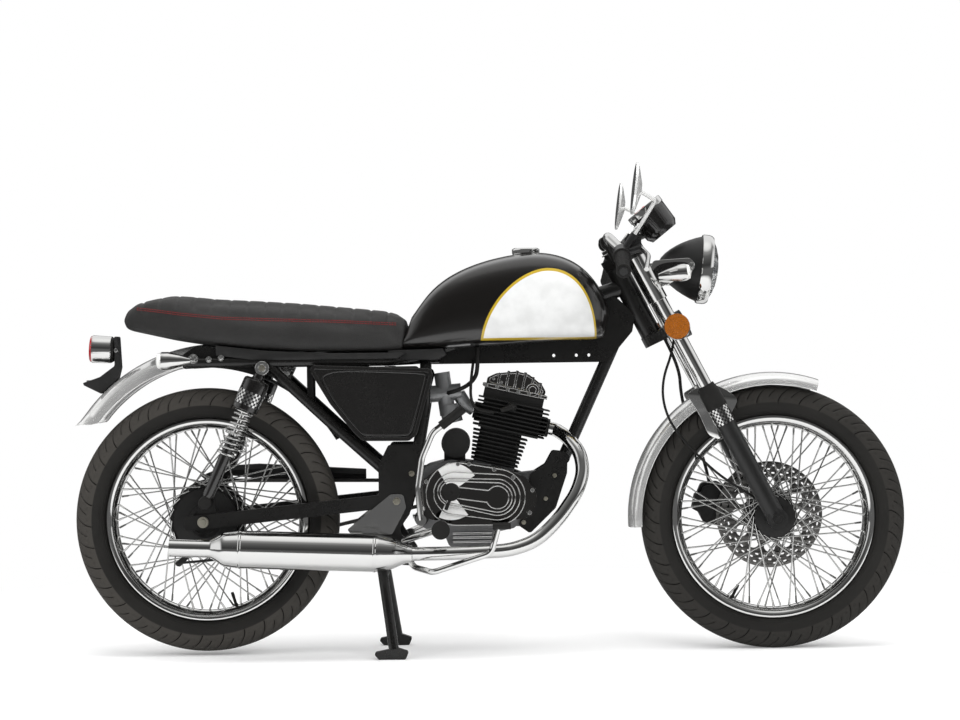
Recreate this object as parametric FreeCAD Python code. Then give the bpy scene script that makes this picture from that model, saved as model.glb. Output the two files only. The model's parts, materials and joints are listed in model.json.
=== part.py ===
import FreeCAD, Part
import math
import os

# A small four-stroke motorcycle in the cafe racer style, parked on its centre stand.
# X points forward, Y to the rider's left and Z up, in millimetres.
# The origin is on the ground, midway between the axles.

# Wheels and stance
WHEELBASE = 1350
TYRE_RADIUS = 314
REAR_LIFT = 10
FRONT_TYRE_WIDTH = 90
REAR_TYRE_WIDTH = 104
RIM_FLANGE_RADIUS = 242
RIM_BED_RADIUS = 217
RIM_WIDTH = 60
SPOKES_PER_SIDE = 36
SPOKE_THICKNESS = 2.6
FRONT_FLANGE_RADIUS = 54
REAR_FLANGE_RADIUS = 86
AXLE_RADIUS = 7.5

# Steering and fork
RAKE = 27.4
FORK_OFFSET = 50
LEG_SPREAD = 92
STANCHION_RADIUS = 15.5
SLIDER_RADIUS = 22.5
SLIDER_TOP = 296
BOOT_LENGTH = 58
LOWER_YOKE = 496
UPPER_YOKE = 700
YOKE_THICKNESS = 26
STEM_RADIUS = 12.5
HEAD_TUBE_RADIUS = 25
BAR_RADIUS = 11.1
GRIP_RADIUS = 16
HEADLAMP_RADIUS = 83
INSTRUMENT_RADIUS = 47
MIRROR_RADIUS = 59

# Frame, swingarm and stand
BACKBONE_RADIUS = 20
DOWN_TUBE_RADIUS = 15
RAIL_RADIUS = 12.5
RAIL_SPREAD = 95
RAIL_HEIGHT = 698
SHOCK_SPREAD = 130
PIVOT_X = -220
PIVOT_Z = 368
ARM_SPREAD = 102
ARM_WIDTH = 20
ARM_HEIGHT = 33
LUG_THICKNESS = 5
STAND_PIVOT_X = -262
STAND_PIVOT_Z = 238
STAND_LEAN = 8
STAND_TUBE_RADIUS = 12
STAND_FOOT_SPREAD = 145

# Engine
CYLINDER_TILT = 13
BARREL_HEIGHT = 80
HEAD_HEIGHT = 96
FIN_THICKNESS = 3
FIN_PITCH = 9.5
CASE_RIGHT = -85
CASE_LEFT = 75
COVER_REACH_RIGHT = -148
COVER_REACH_LEFT = 135
HEADER_RADIUS = 16
SILENCER_RADIUS = 44

# Chain drive
CHAIN_PITCH = 12.7
CHAIN_LINE = 75
FRONT_TEETH = 14
REAR_TEETH = 44

# Seat, tank and fenders
TANK_HALF_WIDTH = 122
SEAT_HALF_WIDTH = 118
FENDER_GAP = 31
FENDER_HALF_WIDTH = 57
FENDER_WALL = 2
REAR_FENDER_RADIUS = TYRE_RADIUS + 83
INNER_GUARD_RADIUS = TYRE_RADIUS + 49
REAR_FENDER_HALF_WIDTH = 66

# Clearances
CLEAR = 0.3
RUNNING = 0.1

V = FreeCAD.Vector
FRONT_AXLE = V(WHEELBASE / 2, 0, TYRE_RADIUS)
ARM_INNER = ARM_SPREAD - ARM_WIDTH / 2
ARM_OUTER = ARM_SPREAD + ARM_WIDTH / 2
LUG_INNER = ARM_OUTER + CLEAR
LUG_OUTER = LUG_INNER + LUG_THICKNESS
REAR_AXLE = V(-WHEELBASE / 2, 0, TYRE_RADIUS + REAR_LIFT)
Y_AXIS = (0, 1, 0)
SHOCK_TOP = (-530, 684)
SHOCK_FOOT = (-668, 370)
SHOCK_BOLT_RADIUS = 9
SHOCK_STUD_RADIUS = 7


# General shapes

def outline(points):
    """Closed wire in the XZ plane. A third number in a point rounds that corner."""
    count = len(points)
    entries = []
    for i in range(count):
        here = V(points[i][0], 0, points[i][1])
        radius = points[i][2] if len(points[i]) > 2 else 0
        if not radius:
            entries.append((here, here, here))
            continue
        before = V(points[i - 1][0], 0, points[i - 1][1]) - here
        after = V(points[(i + 1) % count][0], 0, points[(i + 1) % count][1]) - here
        before.normalize()
        after.normalize()
        half_turn = (math.pi - before.getAngle(after)) / 2
        reach = radius * math.tan(half_turn)
        bisector = (before + after).normalize()
        middle = here + bisector * (radius / math.cos(half_turn) - radius)
        entries.append((here + before * reach, middle, here + after * reach))
    edges = []
    for i in range(count):
        first, middle, last = entries[i]
        if first.distanceToPoint(last) > 1e-6:
            edges.append(Part.Arc(first, middle, last).toShape())
        following = entries[(i + 1) % count][0]
        if last.distanceToPoint(following) > 1e-6:
            edges.append(Part.LineSegment(last, following).toShape())
    return Part.Wire(edges)


def plate(points, y_low, y_high):
    """An XZ outline given a thickness along Y."""
    return layer(outline(points), y_low, y_high)


def placed(shape, origin, axis):
    """A shape built along Z, set at a point and turned along an axis."""
    copy = shape.copy()
    turn = FreeCAD.Rotation(V(0, 0, 1), V(*axis))
    copy.Placement = FreeCAD.Placement(V(*origin), turn).multiply(copy.Placement)
    return copy


def lathe(points, origin, axis):
    """A turned piece: points give its radius and its place along the axis."""
    face = Part.Face(outline(points))
    return placed(face.revolve(V(0, 0, 0), V(0, 0, 1), 360), origin, axis)


def rod(start, end, radius):
    """A round bar between two points."""
    axis = V(*end) - V(*start)
    return Part.makeCylinder(radius, axis.Length, V(*start), axis)


def cross_rod(x, z, y_low, y_high, radius):
    """A round bar along Y."""
    return rod((x, y_low, z), (x, y_high, z), radius)


def block(x, y, z):
    """A box from its ranges along X, Y and Z."""
    size = (x[1] - x[0], y[1] - y[0], z[1] - z[0])
    return Part.makeBox(*size, V(x[0], y[0], z[0]))


def route(points, bend=None):
    """Straight runs joined by tangent arcs, each as large as its runs allow or as bend."""
    corners = [V(*p) for p in points]
    edges = []
    radii = []
    last = corners[0]
    for before, corner, after in zip(corners, corners[1:], corners[2:]):
        back = before - corner
        ahead = after - corner
        run = min(back.Length, ahead.Length)
        back.normalize()
        ahead.normalize()
        half_turn = (math.pi - back.getAngle(ahead)) / 2
        largest = 0.45 * run / math.tan(half_turn)
        radius = min(bend, largest) if bend else largest
        reach = radius * math.tan(half_turn)
        bisector = (back + ahead).normalize()
        start = corner + back * reach
        middle = corner + bisector * (radius / math.cos(half_turn) - radius)
        end = corner + ahead * reach
        edges.append(Part.LineSegment(last, start).toShape())
        edges.append(Part.Arc(start, middle, end).toShape())
        radii.append(radius)
        last = end
    edges.append(Part.LineSegment(last, corners[-1]).toShape())
    return Part.Wire(edges), radii


def tube(points, radius, bend=None):
    """A round bar bent along a route."""
    wire, radii = route(points, bend)
    start = V(*points[0])
    circle = Part.makeCircle(radius, start, V(*points[1]) - start)
    return wire.makePipeShell([Part.Wire([circle])], True, False)


def cord(name, points, radius):
    """A cable's tube, with its length, tightest bend and volume printed."""
    wire, radii = route(points)
    solid = tube(points, radius)
    share = solid.Volume / (math.pi * radius ** 2 * wire.Length)
    print(name, "length", round(wire.Length), "tightest", round(min(radii)), "volume share", round(share, 4))
    return solid


def joined(*shapes):
    """Several overlapping shapes as one solid."""
    return shapes[0].multiFuse(list(shapes[1:])).removeSplitter()


def both_sides(shape):
    """A shape and its mirror image across the bike's middle plane."""
    return [shape, shape.mirror(V(0, 0, 0), V(0, 1, 0))]


def section(x_bottom, x_top, bottom, top, half_width, waist=0.3, square=0.45):
    """One closed cross-section of a tank or seat, as a smooth curve."""
    points = []
    middle = bottom + waist * (top - bottom)
    steps = 16
    for step in range(steps):
        angle = 2 * math.pi * (step + 0.5) / steps
        across = math.copysign(abs(math.cos(angle)) ** square, math.cos(angle))
        rise = math.copysign(abs(math.sin(angle)) ** (square + 0.2), math.sin(angle))
        z = middle + rise * ((top - middle) if rise > 0 else (middle - bottom))
        x = x_bottom + (x_top - x_bottom) * (z - bottom) / (top - bottom)
        points.append(V(x, half_width * across, z))
    curve = Part.BSplineCurve()
    curve.interpolate(points, PeriodicFlag=True)
    return Part.Wire([curve.toShape()])


def belt(first, first_radius, second, second_radius):
    """The closed outline round two circles in the XZ plane, each given by its centre."""
    span = second - first
    lean = math.atan2(span.z, span.x)
    spread = math.acos((first_radius - second_radius) / span.Length)

    def at(centre, radius, angle):
        return V(centre.x + radius * math.cos(angle), 0, centre.z + radius * math.sin(angle))

    top_first = at(first, first_radius, lean + spread)
    top_second = at(second, second_radius, lean + spread)
    low_second = at(second, second_radius, lean - spread)
    low_first = at(first, first_radius, lean - spread)
    return Part.Wire([
        Part.LineSegment(top_first, top_second).toShape(),
        Part.Arc(top_second, at(second, second_radius, lean), low_second).toShape(),
        Part.LineSegment(low_second, low_first).toShape(),
        Part.Arc(low_first, at(first, first_radius, lean + math.pi), top_first).toShape(),
    ])


def layer(wire, y_low, y_high):
    """A closed XZ wire given a thickness along Y."""
    face = Part.Face(wire)
    face.translate(V(0, y_low, 0))
    return face.extrude(V(0, y_high - y_low, 0))


def save(name, *solids):
    """Write one named piece, which may hold several solids."""
    shape = solids[0] if len(solids) == 1 else Part.makeCompound(list(solids))
    for solid in shape.Solids:
        if not solid.isValid() or solid.Volume <= 0:
            print("BAD SOLID in", name)
    shape.exportStep("parts/" + name + ".step")


# Places along the fork: x forward of the steering axis, z up the leg from the axle

RAKE_ANGLE = math.radians(RAKE)
FORK_UP = V(-math.sin(RAKE_ANGLE), 0, math.cos(RAKE_ANGLE))
FORK_AHEAD = V(math.cos(RAKE_ANGLE), 0, math.sin(RAKE_ANGLE))
STEERING_FOOT = FRONT_AXLE - FORK_AHEAD * FORK_OFFSET
FORK_PLACE = FreeCAD.Placement(STEERING_FOOT, FreeCAD.Rotation(V(0, 1, 0), -RAKE))


def on_fork(shape):
    """A shape built in the fork's own frame, set in the bike."""
    copy = shape.copy()
    copy.Placement = FORK_PLACE.multiply(copy.Placement)
    return copy


def fork_point(ahead, y, up):
    """A point of the fork's own frame, as a place on the bike."""
    place = STEERING_FOOT + FORK_AHEAD * ahead + FORK_UP * up
    return (place.x, y, place.z)


# Wheels

def tyre(axle, width):
    half = width / 2
    bead = RIM_WIDTH / 2 - 6
    seat = RIM_FLANGE_RADIUS - 11 + CLEAR
    flange = RIM_FLANGE_RADIUS
    side = [
        (seat, bead), (flange + 1, bead), (flange + 10, half * 0.86), (flange + 26, half),
        (flange + 42, half),
        (TYRE_RADIUS - 18, half * 0.92), (TYRE_RADIUS - 6, half * 0.66), (TYRE_RADIUS, half * 0.26)]
    points = side + [(r, -y) for r, y in reversed(side)]
    return lathe(points, axle, Y_AXIS)


def rim(axle):
    half = RIM_WIDTH / 2
    bed = RIM_BED_RADIUS
    lip = RIM_FLANGE_RADIUS
    side = [(lip, half - 5), (lip - 11, half - 5.5), (lip - 13, half - 15), (bed + 4, half - 22)]
    back = [(bed, half - 18), (bed + 8, half - 6), (lip - 8, half), (lip, half - 0.5)]
    right = [(r, -y) for r, y in side]
    left = [(r, y) for r, y in reversed(side)]
    outer = [(r, y) for r, y in reversed(back)]
    inner = [(r, -y) for r, y in back]
    return lathe(right + left + outer + inner, axle, Y_AXIS)


def edge_rise(hub_x, hub_z, rim_x, rim_z, flange_radius, drop):
    """How far an outer spoke starts off its flange, to pass clear over the flange's edge."""
    run = math.hypot(rim_x - hub_x, rim_z - hub_z)
    toward = (hub_x * (rim_x - hub_x) + hub_z * (rim_z - hub_z)) / run
    inside = hub_x ** 2 + hub_z ** 2 - flange_radius ** 2
    on_flange = math.sqrt(toward ** 2 - inside) - toward
    return drop * on_flange / (run - on_flange)


def spoke_set(axle, hole_radius, faces, lead):
    """Wire spokes as thin bars. Each flange has spokes on its outer and inner face."""
    solids = []
    half = SPOKE_THICKNESS / 2
    step = 360 / SPOKES_PER_SIDE
    for side, (inner_face, outer_face) in enumerate(faces):
        sign = 1 if outer_face > inner_face else -1
        for number in range(SPOKES_PER_SIDE):
            outboard = number % 2 == 0
            turn = lead if outboard else -lead
            hub_angle = math.radians(step * (number + side / 2))
            rim_angle = hub_angle + math.radians(turn)
            face = outer_face if outboard else inner_face
            shift = sign * (half * math.sqrt(2) + CLEAR / 2) * (1 if outboard else -1)
            rim_y = sign * (10.5 if outboard else 5)
            end_radius = RIM_BED_RADIUS - 0.8
            hub_x = math.cos(hub_angle) * hole_radius
            hub_z = math.sin(hub_angle) * hole_radius
            rim_x = math.cos(rim_angle) * end_radius
            rim_z = math.sin(rim_angle) * end_radius
            if outboard:
                shift += sign * edge_rise(hub_x, hub_z, rim_x, rim_z, hole_radius + 5, abs(face) - abs(rim_y))
            start = axle + V(hub_x, face + shift, hub_z)
            end = axle + V(rim_x, rim_y, rim_z)
            bar = Part.makeBox(SPOKE_THICKNESS, SPOKE_THICKNESS, (end - start).Length, V(-half, -half, 0))
            solids.append(placed(bar, start, end - start))
    return solids


def front_wheel():
    flange = FRONT_FLANGE_RADIUS
    bore = AXLE_RADIUS + RUNNING
    points = [
        (bore, -54), (28, -54), (28, -44), (flange, -44), (flange, -40), (30, -40), (24, -30),
        (24, 30), (30, 40), (flange, 40), (flange, 44), (34, 44), (34, 56), (bore, 56),
    ]
    save("front_tyre", tyre(FRONT_AXLE, FRONT_TYRE_WIDTH))
    save("front_rim", rim(FRONT_AXLE))
    save("front_hub", lathe(points, FRONT_AXLE, Y_AXIS))
    faces = [(-40, -44), (40, 44)]
    save("front_spokes", *spoke_set(FRONT_AXLE, flange - 5, faces, 70))
    save("brake_disc", brake_disc())


def brake_disc():
    disc = lathe([(34.3, 57), (128, 57), (128, 61), (34.3, 61)], FRONT_AXLE, Y_AXIS)
    cuts = []
    for number in range(12):
        angle = math.radians(30 * number)
        x = FRONT_AXLE.x + 77 * math.cos(angle)
        z = FRONT_AXLE.z + 77 * math.sin(angle)
        cuts.append(cross_rod(x, z, 50, 70, 14))
    disc = disc.cut(Part.makeCompound(cuts))
    boss = lathe([(AXLE_RADIUS + RUNNING, 56), (34.3, 56), (34.3, 61), (AXLE_RADIUS + RUNNING, 61)],
        FRONT_AXLE, Y_AXIS)
    return joined(disc, boss)


def rear_wheel():
    flange = REAR_FLANGE_RADIUS
    bore = AXLE_RADIUS + RUNNING
    points = [
        (bore, 0), (70, 0), (70, -52), (flange, -52), (flange, -46), (75, -46), (75, 0), (60, 20),
        (58, 42), (flange, 42), (flange, 46), (62, 46), (62, 71), (bore, 71),
    ]
    save("rear_tyre", tyre(REAR_AXLE, REAR_TYRE_WIDTH))
    save("rear_rim", rim(REAR_AXLE))
    save("rear_hub", lathe(points, REAR_AXLE, Y_AXIS))
    faces = [(-46, -52), (42, 46)]
    save("rear_spokes", *spoke_set(REAR_AXLE, flange - 5, faces, 60))
    tip = REAR_PITCH_RADIUS - 4.6
    sprocket = lathe([(bore, 71.2), (tip, 71.2), (tip, 78), (bore, 78)], REAR_AXLE, Y_AXIS)
    holes = []
    for number in range(5):
        angle = math.radians(72 * number + 18)
        x = REAR_AXLE.x + 58 * math.cos(angle)
        z = REAR_AXLE.z + 58 * math.sin(angle)
        holes.append(cross_rod(x, z, 60, 90, 11))
    save("rear_sprocket", sprocket.cut(Part.makeCompound(holes)))


# Chain drive

FRONT_PITCH_RADIUS = CHAIN_PITCH / 2 / math.sin(math.pi / FRONT_TEETH)
REAR_PITCH_RADIUS = CHAIN_PITCH / 2 / math.sin(math.pi / REAR_TEETH)
OUTPUT_X = -152
OUTPUT_Z = 378


def chain_loop(grow):
    """The closed outline of the chain's path round both sprockets, grown outward."""
    return belt(REAR_AXLE, REAR_PITCH_RADIUS + grow, V(OUTPUT_X, 0, OUTPUT_Z), FRONT_PITCH_RADIUS + grow)


def chain_drive():
    outside = layer(chain_loop(4.2), CHAIN_LINE - 7, CHAIN_LINE + 7)
    inside = layer(chain_loop(-4.2), CHAIN_LINE - 8, CHAIN_LINE + 8)
    save("chain", outside.cut(inside))
    guard_top = [(-700, 425), (-640, 448), (-560, 452), (-300, 436), (-300, 424), (-560, 440), (-640, 436),
        (-690, 416)]
    skin = plate(guard_top, 60, ARM_INNER - 3)
    web = plate([(-700, 425), (-640, 448), (-560, 452), (-300, 436), (-300, 412), (-560, 415), (-640, 425)],
        ARM_INNER - 6, ARM_INNER - 3)
    stay = block((-420, -400), (ARM_INNER - 6, ARM_INNER - CLEAR), (345, 425))
    save("chain_guard", joined(skin, web, stay))


# Fork, bars and everything that steers

def fork():
    stanchions = []
    sliders = []
    for side in (-1, 1):
        y = side * LEG_SPREAD
        foot = SLIDER_TOP - 60
        stanchions.append(on_fork(rod((FORK_OFFSET, y, foot), (FORK_OFFSET, y, UPPER_YOKE + YOKE_THICKNESS),
            STANCHION_RADIUS)))
        points = [
            (0, 0), (SLIDER_RADIUS, 0), (SLIDER_RADIUS, SLIDER_TOP), (SLIDER_RADIUS + 2.5, SLIDER_TOP),
            (SLIDER_RADIUS + 2.5, SLIDER_TOP + 40), (SLIDER_RADIUS - 3, SLIDER_TOP + BOOT_LENGTH),
            (0, SLIDER_TOP + BOOT_LENGTH),
        ]
        body = lathe(points, (FORK_OFFSET, y, 0), (0, 0, 1))
        lug = rod((FORK_OFFSET, y - 20, 0), (FORK_OFFSET, y + 20, 0), SLIDER_RADIUS + 2)
        body = joined(body, lug)
        inner = side * (FENDER_HALF_WIDTH + FENDER_WALL + CLEAR)
        for up in (SLIDER_TOP - 20, SLIDER_TOP - 62):
            body = joined(body, rod((FORK_OFFSET, y, up), (FORK_OFFSET, inner, up), 8))
        bore = rod((FORK_OFFSET, y, foot - 2), (FORK_OFFSET, y, SLIDER_TOP + 200), STANCHION_RADIUS + RUNNING)
        hole = rod((FORK_OFFSET, y - 40, 0), (FORK_OFFSET, y + 40, 0), AXLE_RADIUS + RUNNING)
        body = body.cut(bore).cut(hole)
        sliders.append(on_fork(body))
    save("fork_stanchions", *stanchions)
    save("fork_sliders", *sliders)
    save("front_axle", front_axle())


def front_axle():
    shaft = cross_rod(FRONT_AXLE.x, FRONT_AXLE.z, -126, 126, AXLE_RADIUS)
    nuts = []
    for side in (-1, 1):
        nuts.append(cross_rod(FRONT_AXLE.x, FRONT_AXLE.z, side * (LEG_SPREAD + SLIDER_RADIUS + CLEAR),
            side * 123, 13))
    drive = lathe([(AXLE_RADIUS, -54.4), (48, -54.4), (48, -62), (30, -69.2), (AXLE_RADIUS, -69.2)],
        FRONT_AXLE, Y_AXIS)
    return joined(shaft, *nuts, drive)


def yoke(low, thickness):
    """A clamp that holds both legs and the stem, in the fork's frame."""
    body = rod((0, 0, low), (0, 0, low + thickness), 27)
    for side in (-1, 1):
        leg = rod((FORK_OFFSET, side * LEG_SPREAD, low), (FORK_OFFSET, side * LEG_SPREAD, low + thickness),
            25)
        web = [V(-20, side * 14, low), V(FORK_OFFSET - 18, side * (LEG_SPREAD + 4), low)]
        web += [V(FORK_OFFSET + 20, side * (LEG_SPREAD - 14), low), V(24, side * 10, low),
            V(-20, side * 14, low)]
        arm = Part.Face(Part.makePolygon(web)).extrude(V(0, 0, thickness))
        body = joined(body, leg, arm)
    return body


def yokes():
    lower = yoke(LOWER_YOKE, YOKE_THICKNESS)
    upper = yoke(UPPER_YOKE, YOKE_THICKNESS)
    stem = rod((0, 0, LOWER_YOKE), (0, 0, UPPER_YOKE + YOKE_THICKNESS + 12), STEM_RADIUS)
    risers = []
    for side in (-1, 1):
        risers.append(rod((10, side * 45, UPPER_YOKE + 8), (10, side * 45, BAR_HEIGHT), 14))
        risers.append(rod((10, side * 57, BAR_HEIGHT), (10, side * 33, BAR_HEIGHT), 19))
    body = joined(lower, upper, stem, *risers)
    bores = []
    for side in (-1, 1):
        y = side * LEG_SPREAD
        bores.append(rod((FORK_OFFSET, y, 400), (FORK_OFFSET, y, 900), STANCHION_RADIUS + RUNNING / 2))
    bores.append(rod((10, -80, BAR_HEIGHT), (10, 80, BAR_HEIGHT), BAR_RADIUS + RUNNING / 2))
    save("fork_yokes", on_fork(body.cut(Part.makeCompound(bores))))


BAR_HEIGHT = 762
GRIP_INNER = (312, 172, 949)
GRIP_OUTER = (306, 352, 893)


def bar_points():
    clamp = fork_point(10, 0, BAR_HEIGHT)
    side = [(clamp[0], 72, clamp[2]), (282, 118, 984), GRIP_INNER, GRIP_OUTER]
    return [(x, -y, z) for x, y, z in reversed(side)] + side


def handlebar():
    save("handlebar", tube(bar_points(), BAR_RADIUS, 34))


def along(start, end, share):
    """A point part of the way from one place to another."""
    return tuple(a + (b - a) * share for a, b in zip(start, end))


def hand_controls():
    solids = []
    bar = tube(bar_points(), BAR_RADIUS + RUNNING / 2, 34)
    for side in (-1, 1):
        inner = (GRIP_INNER[0], side * GRIP_INNER[1], GRIP_INNER[2])
        outer = (GRIP_OUTER[0], side * GRIP_OUTER[1], GRIP_OUTER[2])
        tip = along(inner, outer, 1.02)
        grip = rod(along(inner, outer, 0.32), tip, GRIP_RADIUS)
        flange = rod(along(inner, outer, 0.32), along(inner, outer, 0.35), GRIP_RADIUS + 5)
        housing = rod(along(inner, outer, 0.13), along(inner, outer, 0.31), 20)
        perch_at = along(inner, outer, 0.2)
        perch = rod(perch_at, (perch_at[0] + 46, perch_at[1], perch_at[2] + 14), 9)
        lever_start = (perch_at[0] + 44, perch_at[1], perch_at[2] + 14)
        lever_mid = along(inner, outer, 0.5)
        lever_end = along(inner, outer, 0.98)
        lever = tube([
            lever_start, (lever_mid[0] + 60, lever_mid[1], lever_mid[2] + 10),
            (lever_end[0] + 52, lever_end[1], lever_end[2] + 2)], 5.5, 60)
        mirror_seat = rod(perch_at, (perch_at[0] + 30, perch_at[1], perch_at[2] + 44), 9)
        body = joined(grip, flange, housing, perch, lever, mirror_seat)
        if side < 0:
            tank = block((perch_at[0] + 8, perch_at[0] + 46), (perch_at[1] + 6, perch_at[1] + 50),
                (perch_at[2] + 6, perch_at[2] + 36))
            body = joined(body, tank)
        solids.append(body.cut(bar))
    save("hand_controls", *solids)


def mirrors():
    solids = []
    for side in (-1, 1):
        inner = (GRIP_INNER[0], side * GRIP_INNER[1], GRIP_INNER[2])
        outer = (GRIP_OUTER[0], side * GRIP_OUTER[1], GRIP_OUTER[2])
        perch_at = along(inner, outer, 0.2)
        seat = V(perch_at[0] + 30, perch_at[1], perch_at[2] + 44)
        rise = V(30, 0, 44).normalize()
        base = seat + rise * CLEAR
        elbow = (386, side * 268, 1056)
        back = (338, side * 318, 1080)
        stem = tube([tuple(base), tuple(base + rise * 22), elbow, back], 4.5, 12)
        boot = rod(tuple(base), tuple(base + rise * 26), 8)
        facing = V(-0.993, 0, 0.118)
        head = lathe([(0, -14), (14, -13), (44, -5), (MIRROR_RADIUS, 0), (MIRROR_RADIUS, 5), (0, 5)], back,
            tuple(facing))
        solids.append(joined(stem, boot, head))
    save("mirrors", *solids)


LAMP_CENTRE = (523, 0, 906)
LAMP_FACING = (math.cos(math.radians(7)), 0, -math.sin(math.radians(7)))
LAMP_BOLT = (482, 913)


def headlamp():
    r = HEADLAMP_RADIUS
    bowl = [(0, -114), (18, -107), (38, -89), (56, -64), (70, -36), (78, -14), (r, -12), (r, 6),
        (r - 10, 13), (56, 22), (0, 30)]
    body = lathe(bowl, LAMP_CENTRE, LAMP_FACING)
    bolts = []
    for side in (-1, 1):
        bolts.append(cross_rod(LAMP_BOLT[0], LAMP_BOLT[1], side * 60, side * 96, 5))
    body = joined(body, *bolts)
    save("headlamp", body)
    ears = []
    for side in (-1, 1):
        y = side * LEG_SPREAD
        low = LOWER_YOKE + YOKE_THICKNESS
        sleeve_low = fork_point(FORK_OFFSET, y, low + 62)
        sleeve_high = fork_point(FORK_OFFSET, y, UPPER_YOKE - CLEAR)
        sleeve = rod(sleeve_low, sleeve_high, STANCHION_RADIUS + 4)
        near = sorted((side * 86.5, side * 90.5))
        ear = plate([(372, 872, 10), (392, 926, 10), (478, 931, 16), (496, 913, 14), (478, 896, 12),
            (424, 868, 10)], *near)
        stalk = cross_rod(424, 889, side * 90, side * 146, 6)
        body = joined(sleeve, ear, stalk).cut(front_bullet(side, CLEAR))
        leg = rod(fork_point(FORK_OFFSET, y, 400), fork_point(FORK_OFFSET, y, 900),
            STANCHION_RADIUS + RUNNING / 2)
        hole = cross_rod(LAMP_BOLT[0], LAMP_BOLT[1], side * 80, side * 100, 5 + RUNNING)
        ears.append(body.cut(leg).cut(hole))
    save("lamp_ears", *ears)


def bullet(tip, facing, length, radius):
    """A bullet-shaped signal lamp: pointed back, round lens in front."""
    r = radius
    points = [(0, 0), (6, 1), (r * 0.7, length * 0.3), (r, length * 0.62), (r, length * 0.8),
        (r * 0.8, length * 0.93), (0, length)]
    return lathe(points, tip, facing)


def front_bullet(side, grow=0):
    return bullet((398, side * 154.5, 886), (0.99, 0, 0.14), 80, 20 + grow)


def front_signals():
    save("front_signals", front_bullet(-1), front_bullet(1))


def instrument():
    normal = (-0.630, 0, 0.776)
    r = INSTRUMENT_RADIUS
    points = [(0, -78), (r - 12, -78), (r - 4, -66), (r - 1, -14), (r, -12), (r, 0), (0, 2)]
    body = lathe(points, (377, 0, 1055), normal)
    foot = fork_point(24, 0, UPPER_YOKE + YOKE_THICKNESS)
    stay = tube([foot, (foot[0] + 16, 0, foot[2] + 26), (424, 0, 1010)], 8, 12)
    body = joined(body, stay)
    yoke_top = rod(fork_point(24, 0, UPPER_YOKE), fork_point(24, 0, UPPER_YOKE + YOKE_THICKNESS + CLEAR), 40)
    save("instrument", body.cut(yoke_top))


def horn_and_reflectors():
    low = LOWER_YOKE + 3
    solids = []
    stay = rod((27.3, 0, low + 8), (60, 0, low + 8), 6)
    disc = rod((58, 0, low + 8), (86, 0, low + 8), 34)
    solids.append(on_fork(joined(stay, disc)))
    for side in (-1, 1):
        y = side * (LEG_SPREAD + 25.3)
        reflector = rod((FORK_OFFSET + 4, y, low + 12), (FORK_OFFSET + 4, y + side * 9, low + 12), 30)
        solids.append(on_fork(reflector))
    save("horn_and_reflectors", *solids)


def front_fender():
    top = TYRE_RADIUS + FENDER_GAP
    w = FENDER_HALF_WIDTH
    t = FENDER_WALL
    outer = [(top - 29, -w), (top - 16, -w + 1), (top - 4, -w + 18), (top, -12), (top, 12),
        (top - 4, w - 18), (top - 16, w - 1), (top - 29, w)]
    inner = [(top - 29, w - t), (top - 17, w - t - 1), (top - 4 - t, w - 19), (top - t, 12), (top - t, -12),
        (top - 4 - t, -w + 19), (top - 17, -w + t + 1), (top - 29, -w + t)]
    wire = Part.makePolygon([V(r, y, 0) for r, y in outer + inner + outer[:1]])
    start = 71
    sweep = 112.5
    arc = Part.Face(wire).revolve(V(0, 0, 0), V(0, 1, 0), -sweep)
    arc.rotate(V(0, 0, 0), V(0, 1, 0), -start)
    arc.translate(FRONT_AXLE)
    plates = []
    for side in (-1, 1):
        near = sorted((side * (w - t), side * (w + t)))
        points = [(500, 560), (470, 608), (492, 622), (524, 634), (556, 622), (592, 596), (566, 548),
            (548, 500), (520, 512)]
        plates.append(plate(points, *near))
    body = joined(arc, *plates)
    save("front_fender", body)


def caliper():
    body = plate([(492, 345, 12), (512, 392, 12), (552, 396, 12), (580, 372, 10), (590, 330, 10),
        (560, 292, 12), (520, 290, 12)], 62.5, 92)
    inner = plate([(500, 345, 10), (516, 384, 10), (540, 388, 8), (548, 340, 8), (530, 300, 8),
        (510, 304, 8)], 46, 55.5)
    bridge = plate([(488, 330, 6), (496, 366, 6), (514, 372, 4), (520, 340, 4), (512, 318, 4)], 46, 92)
    bridge = bridge.cut(lathe([(0, 40), (131, 40), (131, 70), (0, 70)], FRONT_AXLE, Y_AXIS))
    ear = plate([(560, 380, 8), (600, 420, 8), (616, 400, 8), (582, 352, 8)], 74, 92)
    leg = on_fork(rod((FORK_OFFSET, LEG_SPREAD, -30), (FORK_OFFSET, LEG_SPREAD, 400), SLIDER_RADIUS + CLEAR))
    save("brake_caliper", joined(body, inner, bridge, ear).cut(leg))


def front_cables():
    speedo = [
        (640, -62, 352), (612, -66, 372), (566, -69, 400), (520, -72, 436), (470, -78, 488), (428, -84, 540),
        (410, -80, 596), (414, -62, 650), (436, -42, 704), (446, -32, 758), (428, -24, 812), (398, -22, 862),
        (374, -22, 912), (364, -22, 958)]
    save("speedo_cable", cord("speedo_cable", speedo, 3))
    hose = [
        (532, 80, 394.6), (526, 79, 430), (506, 74, 486), (482, 71, 545), (466, 68, 605),
        fork_point(27, 52, 420),
        fork_point(27, 52, LOWER_YOKE - CLEAR)]
    save("brake_hose", cord("brake_hose", hose, 4))


# Frame and what it carries

def tunnel_roof(x):
    """Height of the tank's tunnel over the backbone."""
    return 746 + (x + 150) * 0.3208


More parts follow.
